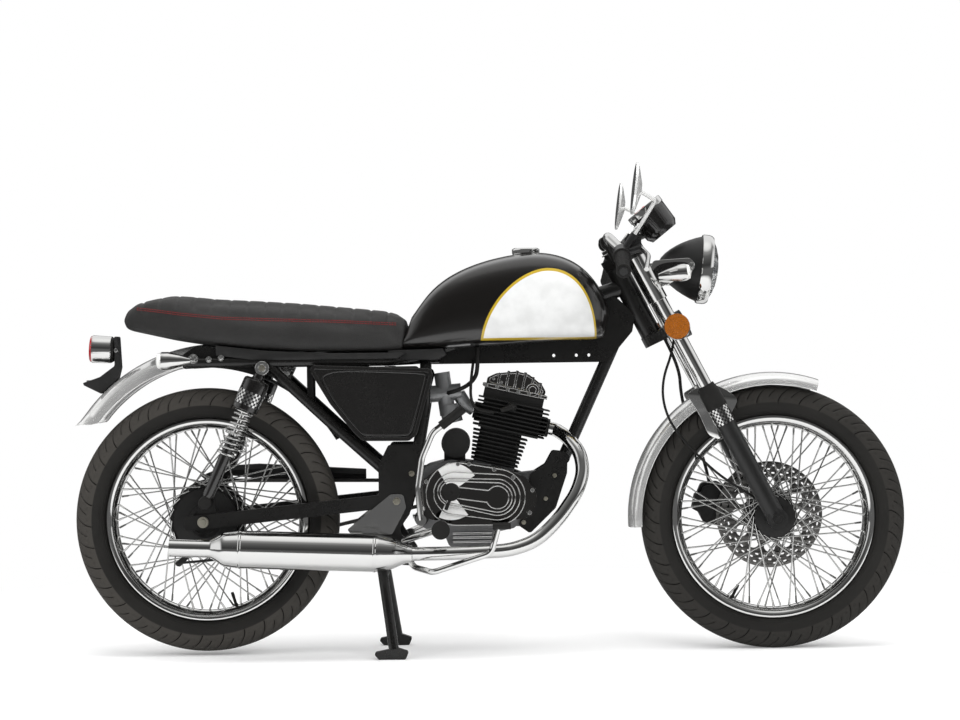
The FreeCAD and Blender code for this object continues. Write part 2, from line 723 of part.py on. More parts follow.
def frame_front():
    head = on_fork(rod((0, 0, LOWER_YOKE + YOKE_THICKNESS + 0.5), (0, 0, UPPER_YOKE - 0.5), HEAD_TUBE_RADIUS))
    backbone = rod((330, 0, 868), (-150, 0, 712), BACKBONE_RADIUS)
    down = rod((349, 0, 835), (178, 0, 462), DOWN_TUBE_RADIUS)
    gussets = []
    for side in (-1, 1):
        near = sorted((side * 12, side * 16))
        points = [(-146, 688), (284, 688), (345, 760), (352, 800), (300, 850), (60, 776), (-146, 709)]
        gussets.append(plate(points, *near))
    brackets = []
    for side in (-1, 1):
        near = sorted((side * 33, side * 38))
        points = [
            (96, 424, 8), (132, 446, 10), (150, 478, 8), (186, 474, 8), (184, 425, 16), (156, 342, 12),
            (94, 282, 8), (66, 302, 8),
            (84, 350, 10)]
        brackets.append(plate(points, *near))
    pads = []
    for x in (-60, 240):
        low = tunnel_roof(x - 20) - CLEAR
        high = tunnel_roof(x + 20) - CLEAR
        pads.append(plate([(x - 20, low), (x + 20, high), (x + 20, high - 30), (x - 20, low - 30)], -18, 18))
    collar = cross_rod(178, 460, -38, 38, 13)
    body = joined(head, backbone, down, collar, *gussets, *brackets, *pads)
    for x, z in FRONT_MOUNTS:
        body = joined(body, cross_rod(x, z, -43, 43, 5))
    for x in (157, 211, 241):
        body = body.cut(cross_rod(x, 705, -30, 30, 4))
    body = body.cut(on_fork(rod((0, 0, 400), (0, 0, 900), STEM_RADIUS + RUNNING)))
    return body


FRONT_MOUNTS = [(154, 420), (132, 365), (79, 309)]
REAR_MOUNT = (-184, 432)
TAIL_PLATE_INNER = 84
GUARD_BAR_RADIUS = 10


def frame_rear(front):
    pieces = []
    for side in (-1, 1):
        y = side * RAIL_SPREAD
        rail = tube([
            (-120, side * 22, 704), (-190, side * 70, 700), (-240, y, RAIL_HEIGHT), (-560, y, RAIL_HEIGHT),
            (-716, y, RAIL_HEIGHT + 2)], RAIL_RADIUS, 60)
        stay = tube([(-520, y, 690), (-356, side * 98, 536), (-236, side * 105, 428)], RAIL_RADIUS, 200)
        seat_tube = tube([(-150, side * 55, 702), (-150, side * 98, 600), (-180, side * 105, 430)],
            RAIL_RADIUS, 90)
        pieces += [rail, stay, seat_tube]
        near = sorted((side * LUG_INNER, side * LUG_OUTER))
        lug = [
            (-158, 452, 8), (-158, 500, 8), (-238, 500, 8), (-262, 452, 14), (-262, 340, 20),
            (-288, 262, 12), (-284, 222, 12),
            (-182, 216, 10),
            (-178, 244, 10), (-216, 300, 16), (-190, 336, 12)]
        pieces.append(plate(lug, *near))
        top_eye = cross_rod(*SHOCK_TOP, side * 84, side * (SHOCK_SPREAD + 14), SHOCK_BOLT_RADIUS)
        tab = plate([(-556, 704, 6), (-504, 704, 6), (-512, 668, 10), (-546, 668, 10)],
            *sorted((side * 90, side * 104)))
        pieces += [top_eye, tab]
        tail = [
            (-722, 718, 10), (-690, 738, 10), (-600, 726, 6), (-500, 708), (-500, 688), (-548, 668, 6),
            (-602, 682, 10),
            (-654, 687, 20), (-722, 684, 8)]
        pieces.append(plate(tail, *sorted((side * TAIL_PLATE_INNER, side * (TAIL_PLATE_INNER + 4)))))
    pieces.append(cross_rod(-150, 700, -44, 44, 15))
    pieces.append(cross_rod(-425, RAIL_HEIGHT, -RAIL_SPREAD, RAIL_SPREAD, GUARD_BAR_RADIUS))
    for x in (-560, -694):
        for side in (-1, 1):
            pieces.append(cross_rod(x, 700, side * (REAR_FENDER_HALF_WIDTH + CLEAR), side * RAIL_SPREAD, 8))
    pieces.append(cross_rod(*REAR_MOUNT, -LUG_INNER - 1, LUG_INNER + 1, 9))
    pieces.append(cross_rod(PIVOT_X, PIVOT_Z, -LUG_OUTER - 12, LUG_OUTER + 12, 8))
    pieces.append(cross_rod(STAND_PIVOT_X, STAND_PIVOT_Z, -LUG_OUTER - 3, LUG_OUTER + 3, 6))
    return joined(*pieces).cut(front)


def swingarm():
    pieces = []
    slope = (PIVOT_Z - REAR_AXLE.z) / (PIVOT_X - REAR_AXLE.x)
    half = ARM_HEIGHT / 2
    rear_x = REAR_AXLE.x - 45

    def level(x):
        return REAR_AXLE.z + slope * (x - REAR_AXLE.x)

    for side in (-1, 1):
        near = sorted((side * ARM_INNER, side * ARM_OUTER))
        points = [
            (rear_x, level(rear_x) - half, 6), (PIVOT_X - 16, level(PIVOT_X) - half, 8),
            (PIVOT_X + 14, level(PIVOT_X) - 8, 8), (PIVOT_X + 14, level(PIVOT_X) + 8, 8),
            (PIVOT_X - 16, level(PIVOT_X) + half, 8), (rear_x, level(rear_x) + half, 6)]
        pieces.append(plate(points, *near))
        eye = plate([(-690, 335, 5), (-684, 384, 10), (-652, 384, 10), (-646, 335, 5)],
            *sorted((side * ARM_INNER, side * (ARM_INNER + 8))))
        stud = cross_rod(*SHOCK_FOOT, side * ARM_INNER, side * (SHOCK_SPREAD + 14), SHOCK_STUD_RADIUS)
        pieces += [eye, stud]
    pieces.append(cross_rod(PIVOT_X, PIVOT_Z, -ARM_SPREAD, ARM_SPREAD, 18))
    pieces.append(cross_rod(-262, 366, -ARM_SPREAD, ARM_SPREAD, 14))
    body = joined(*pieces)
    body = body.cut(cross_rod(PIVOT_X, PIVOT_Z, -200, 200, 8 + RUNNING))
    return body.cut(cross_rod(REAR_AXLE.x, REAR_AXLE.z, -200, 200, AXLE_RADIUS + RUNNING))


def rear_axle():
    shaft = cross_rod(REAR_AXLE.x, REAR_AXLE.z, -ARM_OUTER - 17, ARM_OUTER + 17, AXLE_RADIUS)
    nuts = [cross_rod(REAR_AXLE.x, REAR_AXLE.z, side * (ARM_OUTER + CLEAR), side * (ARM_OUTER + 12),
        13) for side in (-1, 1)]
    spacer = cross_rod(REAR_AXLE.x, REAR_AXLE.z, 78.3, ARM_INNER - CLEAR, 14)
    return joined(shaft, spacer, *nuts)


SPRING_TURNS = 8
SHOCK_CAN_RADIUS = 31


def shocks():
    solids = []
    for side in (-1, 1):
        y = side * SHOCK_SPREAD
        top = V(SHOCK_TOP[0], y, SHOCK_TOP[1])
        low = V(SHOCK_FOOT[0], y, SHOCK_FOOT[1])
        axis = (top - low).normalize()
        length = (top - low).Length
        eye_low = cross_rod(low.x, low.z, y - 10, y + 10, 14)
        eye_top = cross_rod(top.x, top.z, y - 10, y + 10, 15)
        damper = rod(tuple(low), tuple(low + axis * (length * 0.42)), 14)
        shaft = rod(tuple(low), tuple(top), 8)
        can = rod(tuple(low + axis * (length * 0.69)), tuple(low + axis * (length * 0.91)), SHOCK_CAN_RADIUS)
        cup = rod(tuple(low + axis * (length * 0.36)), tuple(low + axis * (length * 0.38)), 22)
        body = joined(eye_low, eye_top, damper, shaft, can, cup)
        first = length * 0.38
        pitch = length * 0.3 / SPRING_TURNS
        coil = [(8, first)]
        for turn in range(SPRING_TURNS):
            at = first + pitch * turn
            coil += [(14, at), (14, at + pitch * 0.3), (21, at + pitch * 0.5), (21, at + pitch * 0.8)]
        coil += [(14, first + pitch * SPRING_TURNS), (8, first + pitch * SPRING_TURNS)]
        body = joined(body, lathe(coil, tuple(low), tuple(axis)))
        body = body.cut(cross_rod(low.x, low.z, y - 40, y + 40, SHOCK_STUD_RADIUS + RUNNING))
        body = body.cut(cross_rod(top.x, top.z, y - 40, y + 40, SHOCK_BOLT_RADIUS + RUNNING))
        solids.append(body)
    save("shock_absorbers", *solids)


FENDER_CENTRE = V(REAR_AXLE.x + 31.4, 0, REAR_AXLE.z + 23)


def rear_fender():
    centre = FENDER_CENTRE
    top = REAR_FENDER_RADIUS
    w = REAR_FENDER_HALF_WIDTH
    t = FENDER_WALL
    outer = [(top - 44, -w), (top - 20, -w + 1), (top - 5, -w + 20), (top, -14), (top, 14),
        (top - 5, w - 20), (top - 20, w - 1), (top - 44, w)]
    inner = [(top - 44, w - t), (top - 21, w - t - 1), (top - 5 - t, w - 21), (top - t, 14), (top - t, -14),
        (top - 5 - t, -w + 21), (top - 21, -w + t + 1), (top - 44, -w + t)]
    wire = Part.makePolygon([V(r, y, 0) for r, y in outer + inner + outer[:1]])
    start = 62
    sweep = 148.7 - start
    arc = Part.Face(wire).revolve(V(0, 0, 0), V(0, 1, 0), -sweep)
    arc.rotate(V(0, 0, 0), V(0, 1, 0), -start)
    arc.translate(centre)
    under_tip = [
        (-1100, 554), (-948, 555, 12), (-905, 562, 26), (-868, 592, 30), (-830, 640, 40), (-790, 652),
        (-790, 300), (-1100, 300)]
    arc = arc.cut(plate(under_tip, -w - 5, w + 5))
    guard = Part.Face(Part.makePolygon([V(r, y, 0) for r, y in [
        (INNER_GUARD_RADIUS, -56), (INNER_GUARD_RADIUS + 3, -56), (INNER_GUARD_RADIUS + 3, 56),
        (INNER_GUARD_RADIUS, 56), (INNER_GUARD_RADIUS, -56)]]))
    guard = guard.revolve(V(0, 0, 0), V(0, 1, 0), -64)
    guard.rotate(V(0, 0, 0), V(0, 1, 0), -31)
    guard.translate(REAR_AXLE)
    hangers = both_sides(block((-433, -417), (28, 33), (589, RAIL_HEIGHT - GUARD_BAR_RADIUS - CLEAR)))
    guard = joined(guard, *hangers)
    save("rear_fender", arc)
    save("inner_mudguard", guard)


def tail():
    can = lathe([(0, 0), (27, 0), (32, 8), (33, 52), (30, 58), (0, 60)], (-894.5, 0, 732), (-0.998, 0, 0.06))
    save("tail_lamp", can)
    bracket = plate([
        (-920, 625, 3), (-966, 648, 3), (-969, 654, 2), (-928, 668, 5), (-892.6, 694, 8), (-892.6, 764, 3),
        (-884, 764, 3), (-880, 690, 10), (-890, 650, 3)], -24, 24)
    inside = cross_rod(FENDER_CENTRE.x, FENDER_CENTRE.z, -40, 40, REAR_FENDER_RADIUS + CLEAR)
    bracket = bracket.cut(inside)
    save("plate_bracket", bracket)


def rear_signals():
    solids = []
    for side in (-1, 1):
        lamp = bullet((-698, side * 128, 704), (-1, 0, 0), 84, 21)
        stalk = cross_rod(-722, 703, side * (RAIL_SPREAD + 13), side * 128, 6)
        solids.append(joined(lamp, stalk))
    save("rear_signals", *solids)


TANK_STATIONS = [
    (-206, -180, 722, 802, 0.72), (-170, -142, 722, 852, 0.84), (-60, -50, 726, 913, 0.95),
    (60, 60, 732, 942, 1.0),
    (160, 150, 738, 944, 1.0), (226, 224, 741, 913, 0.94), (260, 268, 742, 862, 0.8),
    (276, 288, 750, 815, 0.58)]
SEAT_STATIONS = [
    (-212, -188, 713, 804, 0.8), (-300, -300, 712, 822, 0.96), (-450, -450, 714, 837, 1.0),
    (-640, -640, 731, 849, 1.0),
    (-740, -746, 749, 858, 0.94), (-812, -830, 765, 848, 0.82), (-856, -864, 774, 808, 0.6)]


def tank():
    wires = [section(xb, xt, zb, zt, TANK_HALF_WIDTH * w) for xb, xt, zb, zt, w in TANK_STATIONS]
    body = Part.makeLoft(wires, True, False)
    tunnel = plate([(330, 700), (330, tunnel_roof(330)), (-150, tunnel_roof(-150)), (-230, 720),
        (-230, 700)], -27, 27)
    body = body.cut(tunnel)
    save("fuel_tank", body)
    cap = lathe([(0, -6), (30, -6), (33, 4), (33, 12), (28, 15), (0, 15)], (93, 0, 948), (0, 0, 1))
    save("tank_cap", cap.cut(body))


def seat():
    wires = [section(xb, xt, zb, zt, SEAT_HALF_WIDTH * w, 0.35, 0.3) for xb, xt, zb, zt, w in SEAT_STATIONS]
    body = Part.makeLoft(wires, True, False)
    rail_top = RAIL_HEIGHT + RAIL_RADIUS + CLEAR
    feet = [rod((x, y, rail_top), (x, y, rail_top + 25), 8) for x in (-290, -440) for y in (-RAIL_SPREAD,
        RAIL_SPREAD)]
    pan = block((-560, -252), (-80, 80), (RAIL_HEIGHT + RAIL_RADIUS - 0.5, rail_top + 13))
    body = joined(body, pan, *feet)
    width = REAR_FENDER_HALF_WIDTH + 2
    save("seat", body.cut(cross_rod(FENDER_CENTRE.x, FENDER_CENTRE.z, -width, width, REAR_FENDER_RADIUS + 2)))


COVER_FACE = 128
COVER_BACK = 115.5
COVER_EDGE = 9


def side_covers():
    points = [
        (-428, 690, 12), (-136, 678, 12), (-131, 664, 8), (-170, 524, 18), (-188, 509, 16), (-298, 510, 20),
        (-318, 530, 20),
        (-373, 598, 40)]
    rim = outline(points)
    panel = layer(rim, -COVER_FACE + 4, -COVER_BACK)
    border = layer(rim, -COVER_FACE, -COVER_FACE + 5)
    border = border.cut(layer(rim.makeOffset2D(-COVER_EDGE), -COVER_FACE - 1, -COVER_FACE + 6))
    rail_under = RAIL_HEIGHT - RAIL_RADIUS - CLEAR
    tabs = [block((x - 9, x + 9), (-COVER_BACK - 2, -RAIL_SPREAD), (666, rail_under)) for x in (-235, -375)]
    save("side_covers", *both_sides(joined(panel, border, *tabs)))
    box = plate([(-394, 684, 10), (-166, 684, 10), (-184, 545, 14), (-300, 545, 14), (-392, 640, 10)], -80,
        80)
    ears = both_sides(block((-312, -290), (70, RAIL_SPREAD - 3), (650, rail_under)))
    neck = rod((-170, -14, 616), (-200, -14, 616), 25)
    save("airbox", joined(box, neck, *ears))


# Engine

PORT_REACH = 110
PORT_HEIGHT = 118
INLET_END = (-75, 0, 124)
PLUG = (12, 150)
PLUG_FACE = -72
FUEL_TAP_TOP = 727
ENGINE_FOOT = V(8.4, -4, 440.8)
ENGINE_PLACE = FreeCAD.Placement(ENGINE_FOOT, FreeCAD.Rotation(V(0, 1, 0), CYLINDER_TILT))


def on_cylinder(shape):
    copy = shape.copy()
    copy.Placement = ENGINE_PLACE.multiply(copy.Placement)
    return copy


def fin(rear, front, width, low, thickness):
    """A cooling fin: a rounded rectangle across the cylinder."""
    body = block((rear, front), (-width / 2, width / 2), (low, low + thickness))
    corners = [edge for edge in body.Edges if abs(edge.tangentAt(edge.FirstParameter).z) > 0.9]
    return body.makeFillet(14, corners)


def engine():
    case_points = [
        (-160, 300, 16), (-172, 372, 30), (-158, 446, 26), (-92, 462, 30), (0, 450, 10), (62, 424, 14),
        (62, 300, 12), (14, 290, 8), (8, 257, 10), (-98, 257, 10), (-112, 292, 10)]
    case = plate(case_points, CASE_RIGHT, CASE_LEFT)
    front_lug = plate([(50, 424), (164, 436, 8), (148, 352, 8), (92, 298, 8), (50, 300)], -32.5, 32.5)
    rear_lug = cross_rod(*REAR_MOUNT, -40, 40, 16)
    rear_web = plate([(-196, 420, 4), (-196, 440, 4), (-150, 446), (-150, 410)], -40, 40)
    starter = cross_rod(-80, 500, -78, 40, 34)
    sump_ribs = [block((-90, 4), (CASE_RIGHT - 5, CASE_RIGHT + 1), (z, z + 4)) for z in (266, 276, 286)]
    starter_web = block((-108, -58), (-60, 30), (436, 480))
    base = on_cylinder(block((-50, 50), (-50, 50), (-20, 8)))
    case = joined(case, front_lug, rear_lug, rear_web, starter, starter_web, base, *sump_ribs)
    case = case.cut(block((-200, -112), (62, 90), (320, 440)))
    sprocket = cross_rod(OUTPUT_X, OUTPUT_Z, CHAIN_LINE - 25, CHAIN_LINE + 6, FRONT_PITCH_RADIUS - 4.8)
    case = joined(case, sprocket)
    case = case.cut(on_cylinder(block((-62, 90), (-80, 80), (8, 80))))
    for x, z in FRONT_MOUNTS:
        case = case.cut(cross_rod(x, z, -60, 60, 5 + RUNNING))
    case = case.cut(cross_rod(*REAR_MOUNT, -60, 60, 9 + RUNNING))
    save("crankcase", case)

    fins = []
    for number in range(8):
        reach = 57 + number * 1.3
        fins.append(fin(-reach, reach, 124, 11 + FIN_PITCH * number, FIN_THICKNESS))
    core = fin(-50, 50, 96, 8, BARREL_HEIGHT)
    save("cylinder_barrel", on_cylinder(joined(core, *fins)))

    head_low = 8 + BARREL_HEIGHT
    head_top = head_low + HEAD_HEIGHT
    core = block((-56, 88), (-52, 52), (head_low, head_low + 74))
    cam_box = block((-60, 84), (-45, 45), (head_low + 70, head_top))
    fins = [fin(-70, 103, 136, head_low + 3 + FIN_PITCH * n, FIN_THICKNESS) for n in range(8)]
    exhaust_port = rod((50, 0, PORT_HEIGHT), (PORT_REACH, 0, PORT_HEIGHT), 22)
    flange = block((PORT_REACH - 7, PORT_REACH), (-34, 34), (PORT_HEIGHT - 19, PORT_HEIGHT + 19))
    inlet_port = rod((-50, 0, INLET_END[2]), INLET_END, 20)
    plug_boss = rod((PLUG[0], PLUG_FACE, PLUG[1]), (PLUG[0], 0, PLUG[1]), 12)
    save("cylinder_head", on_cylinder(joined(core, cam_box, exhaust_port, flange, inlet_port, plug_boss,
        *fins)))

    top = head_top
    skirt = plate([(-64, top), (-66, top + 9, 3), (90, top + 9, 3), (90, top)], -50, 50)
    dome = plate([
        (-58, top + 5), (-59, top + 22, 8), (-40, top + 36, 14), (8, top + 51, 24), (36, top + 50, 20),
        (72, top + 32, 16),
        (84, top + 18, 8), (82, top + 5)], -43, 43)
    ribs = []
    for number in range(6):
        at = -34 + number * 20
        ribs.append(block((at, at + 5), (-46, 46), (top + 6, top + RIB_TOPS[number])))
    boss = cross_rod(52, top + 16, -49, 0, 15)
    save("rocker_cover", on_cylinder(joined(skirt, dome, boss, *ribs)))


RIB_TOPS = [39, 48, 53, 53, 46, 36]
COVER_BOLTS = [(-75, 453), (-49, 453), (10, 439), (54, 420), (99, 390), (92, 337), (-150, 413), (-158, 350)]
KICK_X = -162
KICK_Z = 327


def engine_covers():
    right_points = [
        (-148, 322, 26), (-170, 372, 34), (-150, 424, 30), (-92, 460, 34), (20, 446, 20), (84, 420, 26),
        (114, 372, 30), (88, 322, 26)]
    base = plate(right_points, -118, CASE_RIGHT)
    cap = V(-91.5, 0, 389)
    bulge = V(16.5, 0, 375)
    face = COVER_REACH_RIGHT
    steps = [
        layer(belt(V(-77, 0, 383), 74, bulge, 66), -125, -117),
        layer(belt(V(-83, 0, 385), 50, bulge, 54), -132, -124),
        layer(belt(cap, 32, bulge, 43), -140, -131),
        layer(belt(cap, 26, bulge, 35), face, -139)]
    recess = layer(belt(cap, 13, V(0, 0, 377), 14), face - 1, face + 6)
    well = cross_rod(bulge.x, bulge.z, face - 1, face + 6, 27)
    knob = cross_rod(cap.x, cap.z, face, -135, 21)
    bosses = [cross_rod(x, z, -122, -110, 8) for x, z in COVER_BOLTS]
    kick_boss = cross_rod(KICK_X, KICK_Z, -118, CASE_RIGHT, 17)
    right = joined(base, *steps, *bosses, kick_boss).cut(recess).cut(well)
    right = joined(right, knob)
    left = joined(
        plate([
            (-60, 318, 20), (-78, 372, 20), (-60, 440, 20), (20, 446, 20), (84, 420, 26), (104, 372, 30),
            (80, 318, 26)], CASE_LEFT, COVER_REACH_LEFT),
        plate([
            (-144, 330, 20), (-162, 372, 30), (-144, 420, 24), (-92, 438, 30), (-20, 432, 10),
            (-20, 332, 10)],
            CHAIN_LINE + 21, COVER_REACH_LEFT - 13))
    save("engine_covers", right, left)


def carburettor():
    port = ENGINE_PLACE.multVec(V(*INLET_END))
    elbow = (-58, -9, 593)
    body = joined(
        rod((-98, -14, 566), (-112, -14, 668), 19),
        rod((-86, -14, 548), (-96, -14, 590), 24),
        rod((-142, -14, 616), (-66, -14, 622), 20),
        rod((port.x - CLEAR, port.y, port.z), elbow, 16),
        Part.makeSphere(16, V(*elbow)),
        rod(elbow, (-72, -13, 616), 16),
        rod((-142, -14, 616), (-170 + CLEAR, -14, 616), 25))
    inside_head = on_cylinder(rod((-50, 0, INLET_END[2]), (INLET_END[0] - CLEAR, 0, INLET_END[2]), 40))
    save("carburettor", body.cut(inside_head))


def engine_hoses():
    """The plug's cap with its lead, and the fuel pipe from the tank."""
    face = ENGINE_PLACE.multVec(V(PLUG[0], PLUG_FACE - CLEAR, PLUG[1]))
    bend = V(face.x, PLUG_FACE - 14, face.z)
    cap_end = V(bend.x - 26, bend.y, bend.z - 8)
    lead = tube([
        tuple(bend), (12, -88, 572), (-26, -84, 574), (-44, -74, 602), (-42, -62, 650), (-36, -40, 692),
        (-36, -16 - CLEAR, 694)], 3.5)
    cap = joined(rod(tuple(face), tuple(bend), 9), Part.makeSphere(9, bend),
        rod(tuple(bend), tuple(cap_end), 8))
    pipe = tube([
        (-25, -42, FUEL_TAP_TOP), (-25, -42, 672), (-36, -46, 648), (-60, -56, 630), (-96, -54, 619),
        (-96, -34 - CLEAR, 619)], 5)
    save("engine_hoses", joined(lead, cap), pipe)


SILENCER_START = V(-184.3, -166, 247)
SILENCER_END = V(-748, -175, 270)
SILENCER_SEAMS = (84, 396)
SEAM_WIDTH = 7
SEAM_RISE = 1.2
SILENCER_BANDS = [
    (SILENCER_RADIUS + rise, start + along) for start in SILENCER_SEAMS for along, rise in (
        (0, 0), (1.5, SEAM_RISE), (SEAM_WIDTH - 1.5, SEAM_RISE), (SEAM_WIDTH, 0))]


def exhaust():
    port = ENGINE_PLACE.multVec(V(PORT_REACH + CLEAR, 0, PORT_HEIGHT))
    first = ENGINE_PLACE.multVec(V(PORT_REACH + 18, 0, PORT_HEIGHT))
    points = [
        (port.x, port.y, port.z), (first.x, first.y, first.z), (186, -42, 510), (214, -74, 474),
        (220, -92, 430),
        (204, -110, 382), (158, -126, 318), (106, -138, 271), (44, -150, 251), (-73, -160, 247),
        (-184, -166, 247)]
    header = tube(points, HEADER_RADIUS)
    save("exhaust_pipe", header)
    start = SILENCER_START
    end = SILENCER_END
    axis = tuple(end - start)
    r = SILENCER_RADIUS
    body = lathe([
        (0, 0), (20, 0), (22, 14), (36, 44), (r, 80, 20), *SILENCER_BANDS, (r - 4, 440, 30), (21, 468, 12),
        (21, 564), (17, 564),
        (17, 500), (0, 500)], tuple(start), axis)
    save("silencer", body.cut(header))


def foot_gear():
    hanger = plate([(-198, 352, 10), (-204, 384, 9), (-234, 384, 12), (-336, 303, 3), (-330, 294, 3),
        (-232, 290, 8)], -LUG_OUTER - 7, -LUG_OUTER)
    clamp = plate([(-262, 304, 6), (-300, 308, 6), (-300, 280, 6), (-262, 280, 6)], -150, -LUG_OUTER - 3)
    muffler = Part.makeCylinder(SILENCER_RADIUS + CLEAR, 564)
    seam = Part.makeCylinder(SILENCER_RADIUS + SEAM_RISE + CLEAR, SEAM_WIDTH + 2,
        V(0, 0, SILENCER_SEAMS[0] - 1))
    clamp = clamp.cut(placed(muffler.fuse(seam), SILENCER_START, SILENCER_END - SILENCER_START))
    right = joined(hanger, clamp)
    left = hanger.mirror(V(0, 0, 0), V(0, 1, 0))
    pivot_bolt = cross_rod(PIVOT_X, PIVOT_Z, -200, 200, 8 + RUNNING)
    pegs = []
    for side in (-1, 1):
        arm = rod((-208, side * (LUG_OUTER - 10), 274), (-114, side * 196, 308), 9)
        peg = cross_rod(-114, 312, side * 190, side * 318, 15)
        end = cross_rod(-114, 312, side * 318, side * 326, 21)
        pegs.append(joined(arm, peg, end))
    outside = block((-400, 0), (-LUG_OUTER, LUG_OUTER), (200, 400))
    save("footrests", right.cut(pivot_bolt), left.cut(pivot_bolt), *[peg.cut(outside) for peg in pegs])


def levers():
    kick = joined(
        cross_rod(KICK_X, KICK_Z, -118 - CLEAR, -192, 13),
        tube([(-162, -186, 327), (-168, -190, 400), (-158, -192, 470), (-132, -196, 530), (-112, -200, 545)],
        7, 60),
        rod((-112, -200, 545), (-60, -204, 585), 11))
    pedal = joined(
        cross_rod(-194, 234, -LUG_OUTER - CLEAR, -142, 10),
        tube([(-194, -136, 234), (-180, -140, 214), (-135, -208, 207), (0, -214, 250), (16, -216, 306)], 7,
        26),
        rod((4, -218, 313), (46, -218, 313), 8))
    gear = joined(
        rod((-60, 135.3, 330), (-60, 160, 330), 10),
        rod((-60, 152, 330), (-190, 158, 314), 6),
        rod((-60, 152, 330), (60, 156, 306), 6),
        rod((60, 150, 306), (60, 190, 306), 9))
    save("foot_levers", kick, pedal, gear)


def rear_brake():
    plate_body = lathe([(AXLE_RADIUS + RUNNING, CLEAR - ARM_INNER), (30, CLEAR - ARM_INNER), (40, -72),
        (76, -64), (76, -52.4), (69.6, -52.4), (69.6, -30), (AXLE_RADIUS + RUNNING, -30)], REAR_AXLE, Y_AXIS)
    arm = joined(
        cross_rod(-690, 262, -90, -56, 9),
        plate([(-702, 264, 6), (-680, 268, 6), (-734, 218, 6), (-752, 222, 6)], -90, -84),
        rod((-744, -87, 226), (-250, -108, 265), 3))
    save("rear_brake_plate", joined(plate_body, arm))


def centre_stand():
    foot_x = STAND_PIVOT_X + STAND_PIVOT_Z * math.tan(math.radians(STAND_LEAN))
    r = STAND_TUBE_RADIUS
    pieces = [cross_rod(STAND_PIVOT_X, STAND_PIVOT_Z, -LUG_INNER + CLEAR, LUG_INNER - CLEAR, 14)]
    for side in (-1, 1):
        hip = (STAND_PIVOT_X, side * 76, STAND_PIVOT_Z)
        ankle = (foot_x, side * STAND_FOOT_SPREAD, r)
        pieces.append(rod(hip, ankle, r))
        skid = [(foot_x - 36, 0, 5), (foot_x + 26, 0, 5), (foot_x + 34, 18, 5), (foot_x + 10, 26, 5),
            (foot_x - 20, 22, 5), (foot_x - 50, 16, 5)]
        pieces.append(plate(skid, *sorted((side * (STAND_FOOT_SPREAD - 12),
            side * (STAND_FOOT_SPREAD + 12)))))
    brace = 0.22
    brace_x = STAND_PIVOT_X + (foot_x - STAND_PIVOT_X) * brace
    brace_z = STAND_PIVOT_Z * (1 - brace)
    pieces.append(cross_rod(brace_x, brace_z, -90, 90, 9))
    body = joined(*pieces).cut(cross_rod(STAND_PIVOT_X, STAND_PIVOT_Z, -200, 200, 6 + RUNNING))
    save("centre_stand", body)


def build():
    os.makedirs("parts", exist_ok=True)
    front_wheel()
    rear_wheel()
    chain_drive()
    fork()
    yokes()
    handlebar()
    hand_controls()
    mirrors()
    headlamp()
    front_signals()
    instrument()
    horn_and_reflectors()
    front_fender()
    caliper()
    front_cables()
    front = frame_front()
    save("frame_front", front)
    save("frame_rear", frame_rear(front))
    save("swingarm", swingarm())
    save("rear_axle", rear_axle())
    shocks()
    rear_fender()
    tail()
    rear_signals()
    tank()
    seat()
    side_covers()
    engine()
    engine_covers()
    carburettor()
    engine_hoses()
    exhaust()
    foot_gear()
    levers()
    rear_brake()
    centre_stand()


build()
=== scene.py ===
# Looks of the cafe racer motorcycle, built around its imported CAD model.
# Metres; +X forward, +Y the rider's left, +Z up. The order is the order of assembly.

import json
import math

import bmesh
import bpy
from mathutils import Matrix, Vector
from mathutils.bvhtree import BVHTree

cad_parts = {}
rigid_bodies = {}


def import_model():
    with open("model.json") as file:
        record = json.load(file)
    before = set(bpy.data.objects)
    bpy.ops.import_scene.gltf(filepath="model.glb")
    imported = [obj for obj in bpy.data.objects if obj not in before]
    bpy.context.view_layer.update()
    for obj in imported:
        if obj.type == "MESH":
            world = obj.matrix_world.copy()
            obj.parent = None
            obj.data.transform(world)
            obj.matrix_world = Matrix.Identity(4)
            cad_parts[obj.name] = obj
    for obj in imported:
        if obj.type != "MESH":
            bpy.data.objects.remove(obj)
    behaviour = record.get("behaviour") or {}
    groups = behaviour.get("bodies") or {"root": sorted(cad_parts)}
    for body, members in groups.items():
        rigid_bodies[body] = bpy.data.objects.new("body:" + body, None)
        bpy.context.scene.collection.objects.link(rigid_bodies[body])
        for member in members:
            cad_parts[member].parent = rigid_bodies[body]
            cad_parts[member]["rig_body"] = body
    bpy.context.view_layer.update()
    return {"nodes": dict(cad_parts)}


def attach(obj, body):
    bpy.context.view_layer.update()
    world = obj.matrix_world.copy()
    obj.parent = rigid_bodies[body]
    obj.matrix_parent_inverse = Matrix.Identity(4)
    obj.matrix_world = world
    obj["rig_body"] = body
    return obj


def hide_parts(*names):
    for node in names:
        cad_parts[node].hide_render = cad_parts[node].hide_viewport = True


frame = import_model()


# Studio
# A pale floor, white all round, and soft boxes overhead and in front. The camera stands level
# with the tank, square to the bike's right side and a little rolled, as in the photograph.

def put_object(name, data):
    """A new object in the scene."""
    made = bpy.data.objects.new(name, data)
    bpy.context.scene.collection.objects.link(made)
    return made


camera_data = bpy.data.cameras.new("camera")
camera_data.sensor_width = 36
camera_data.lens = 90.75
camera_data.clip_end = 400
camera = put_object("camera", camera_data)
camera.location = (-0.0199, -5.8, 0.6965)
camera.rotation_euler = (math.radians(90), math.radians(0.76), 0)
bpy.context.scene.camera = camera
bpy.context.scene.view_settings.view_transform = "Standard"


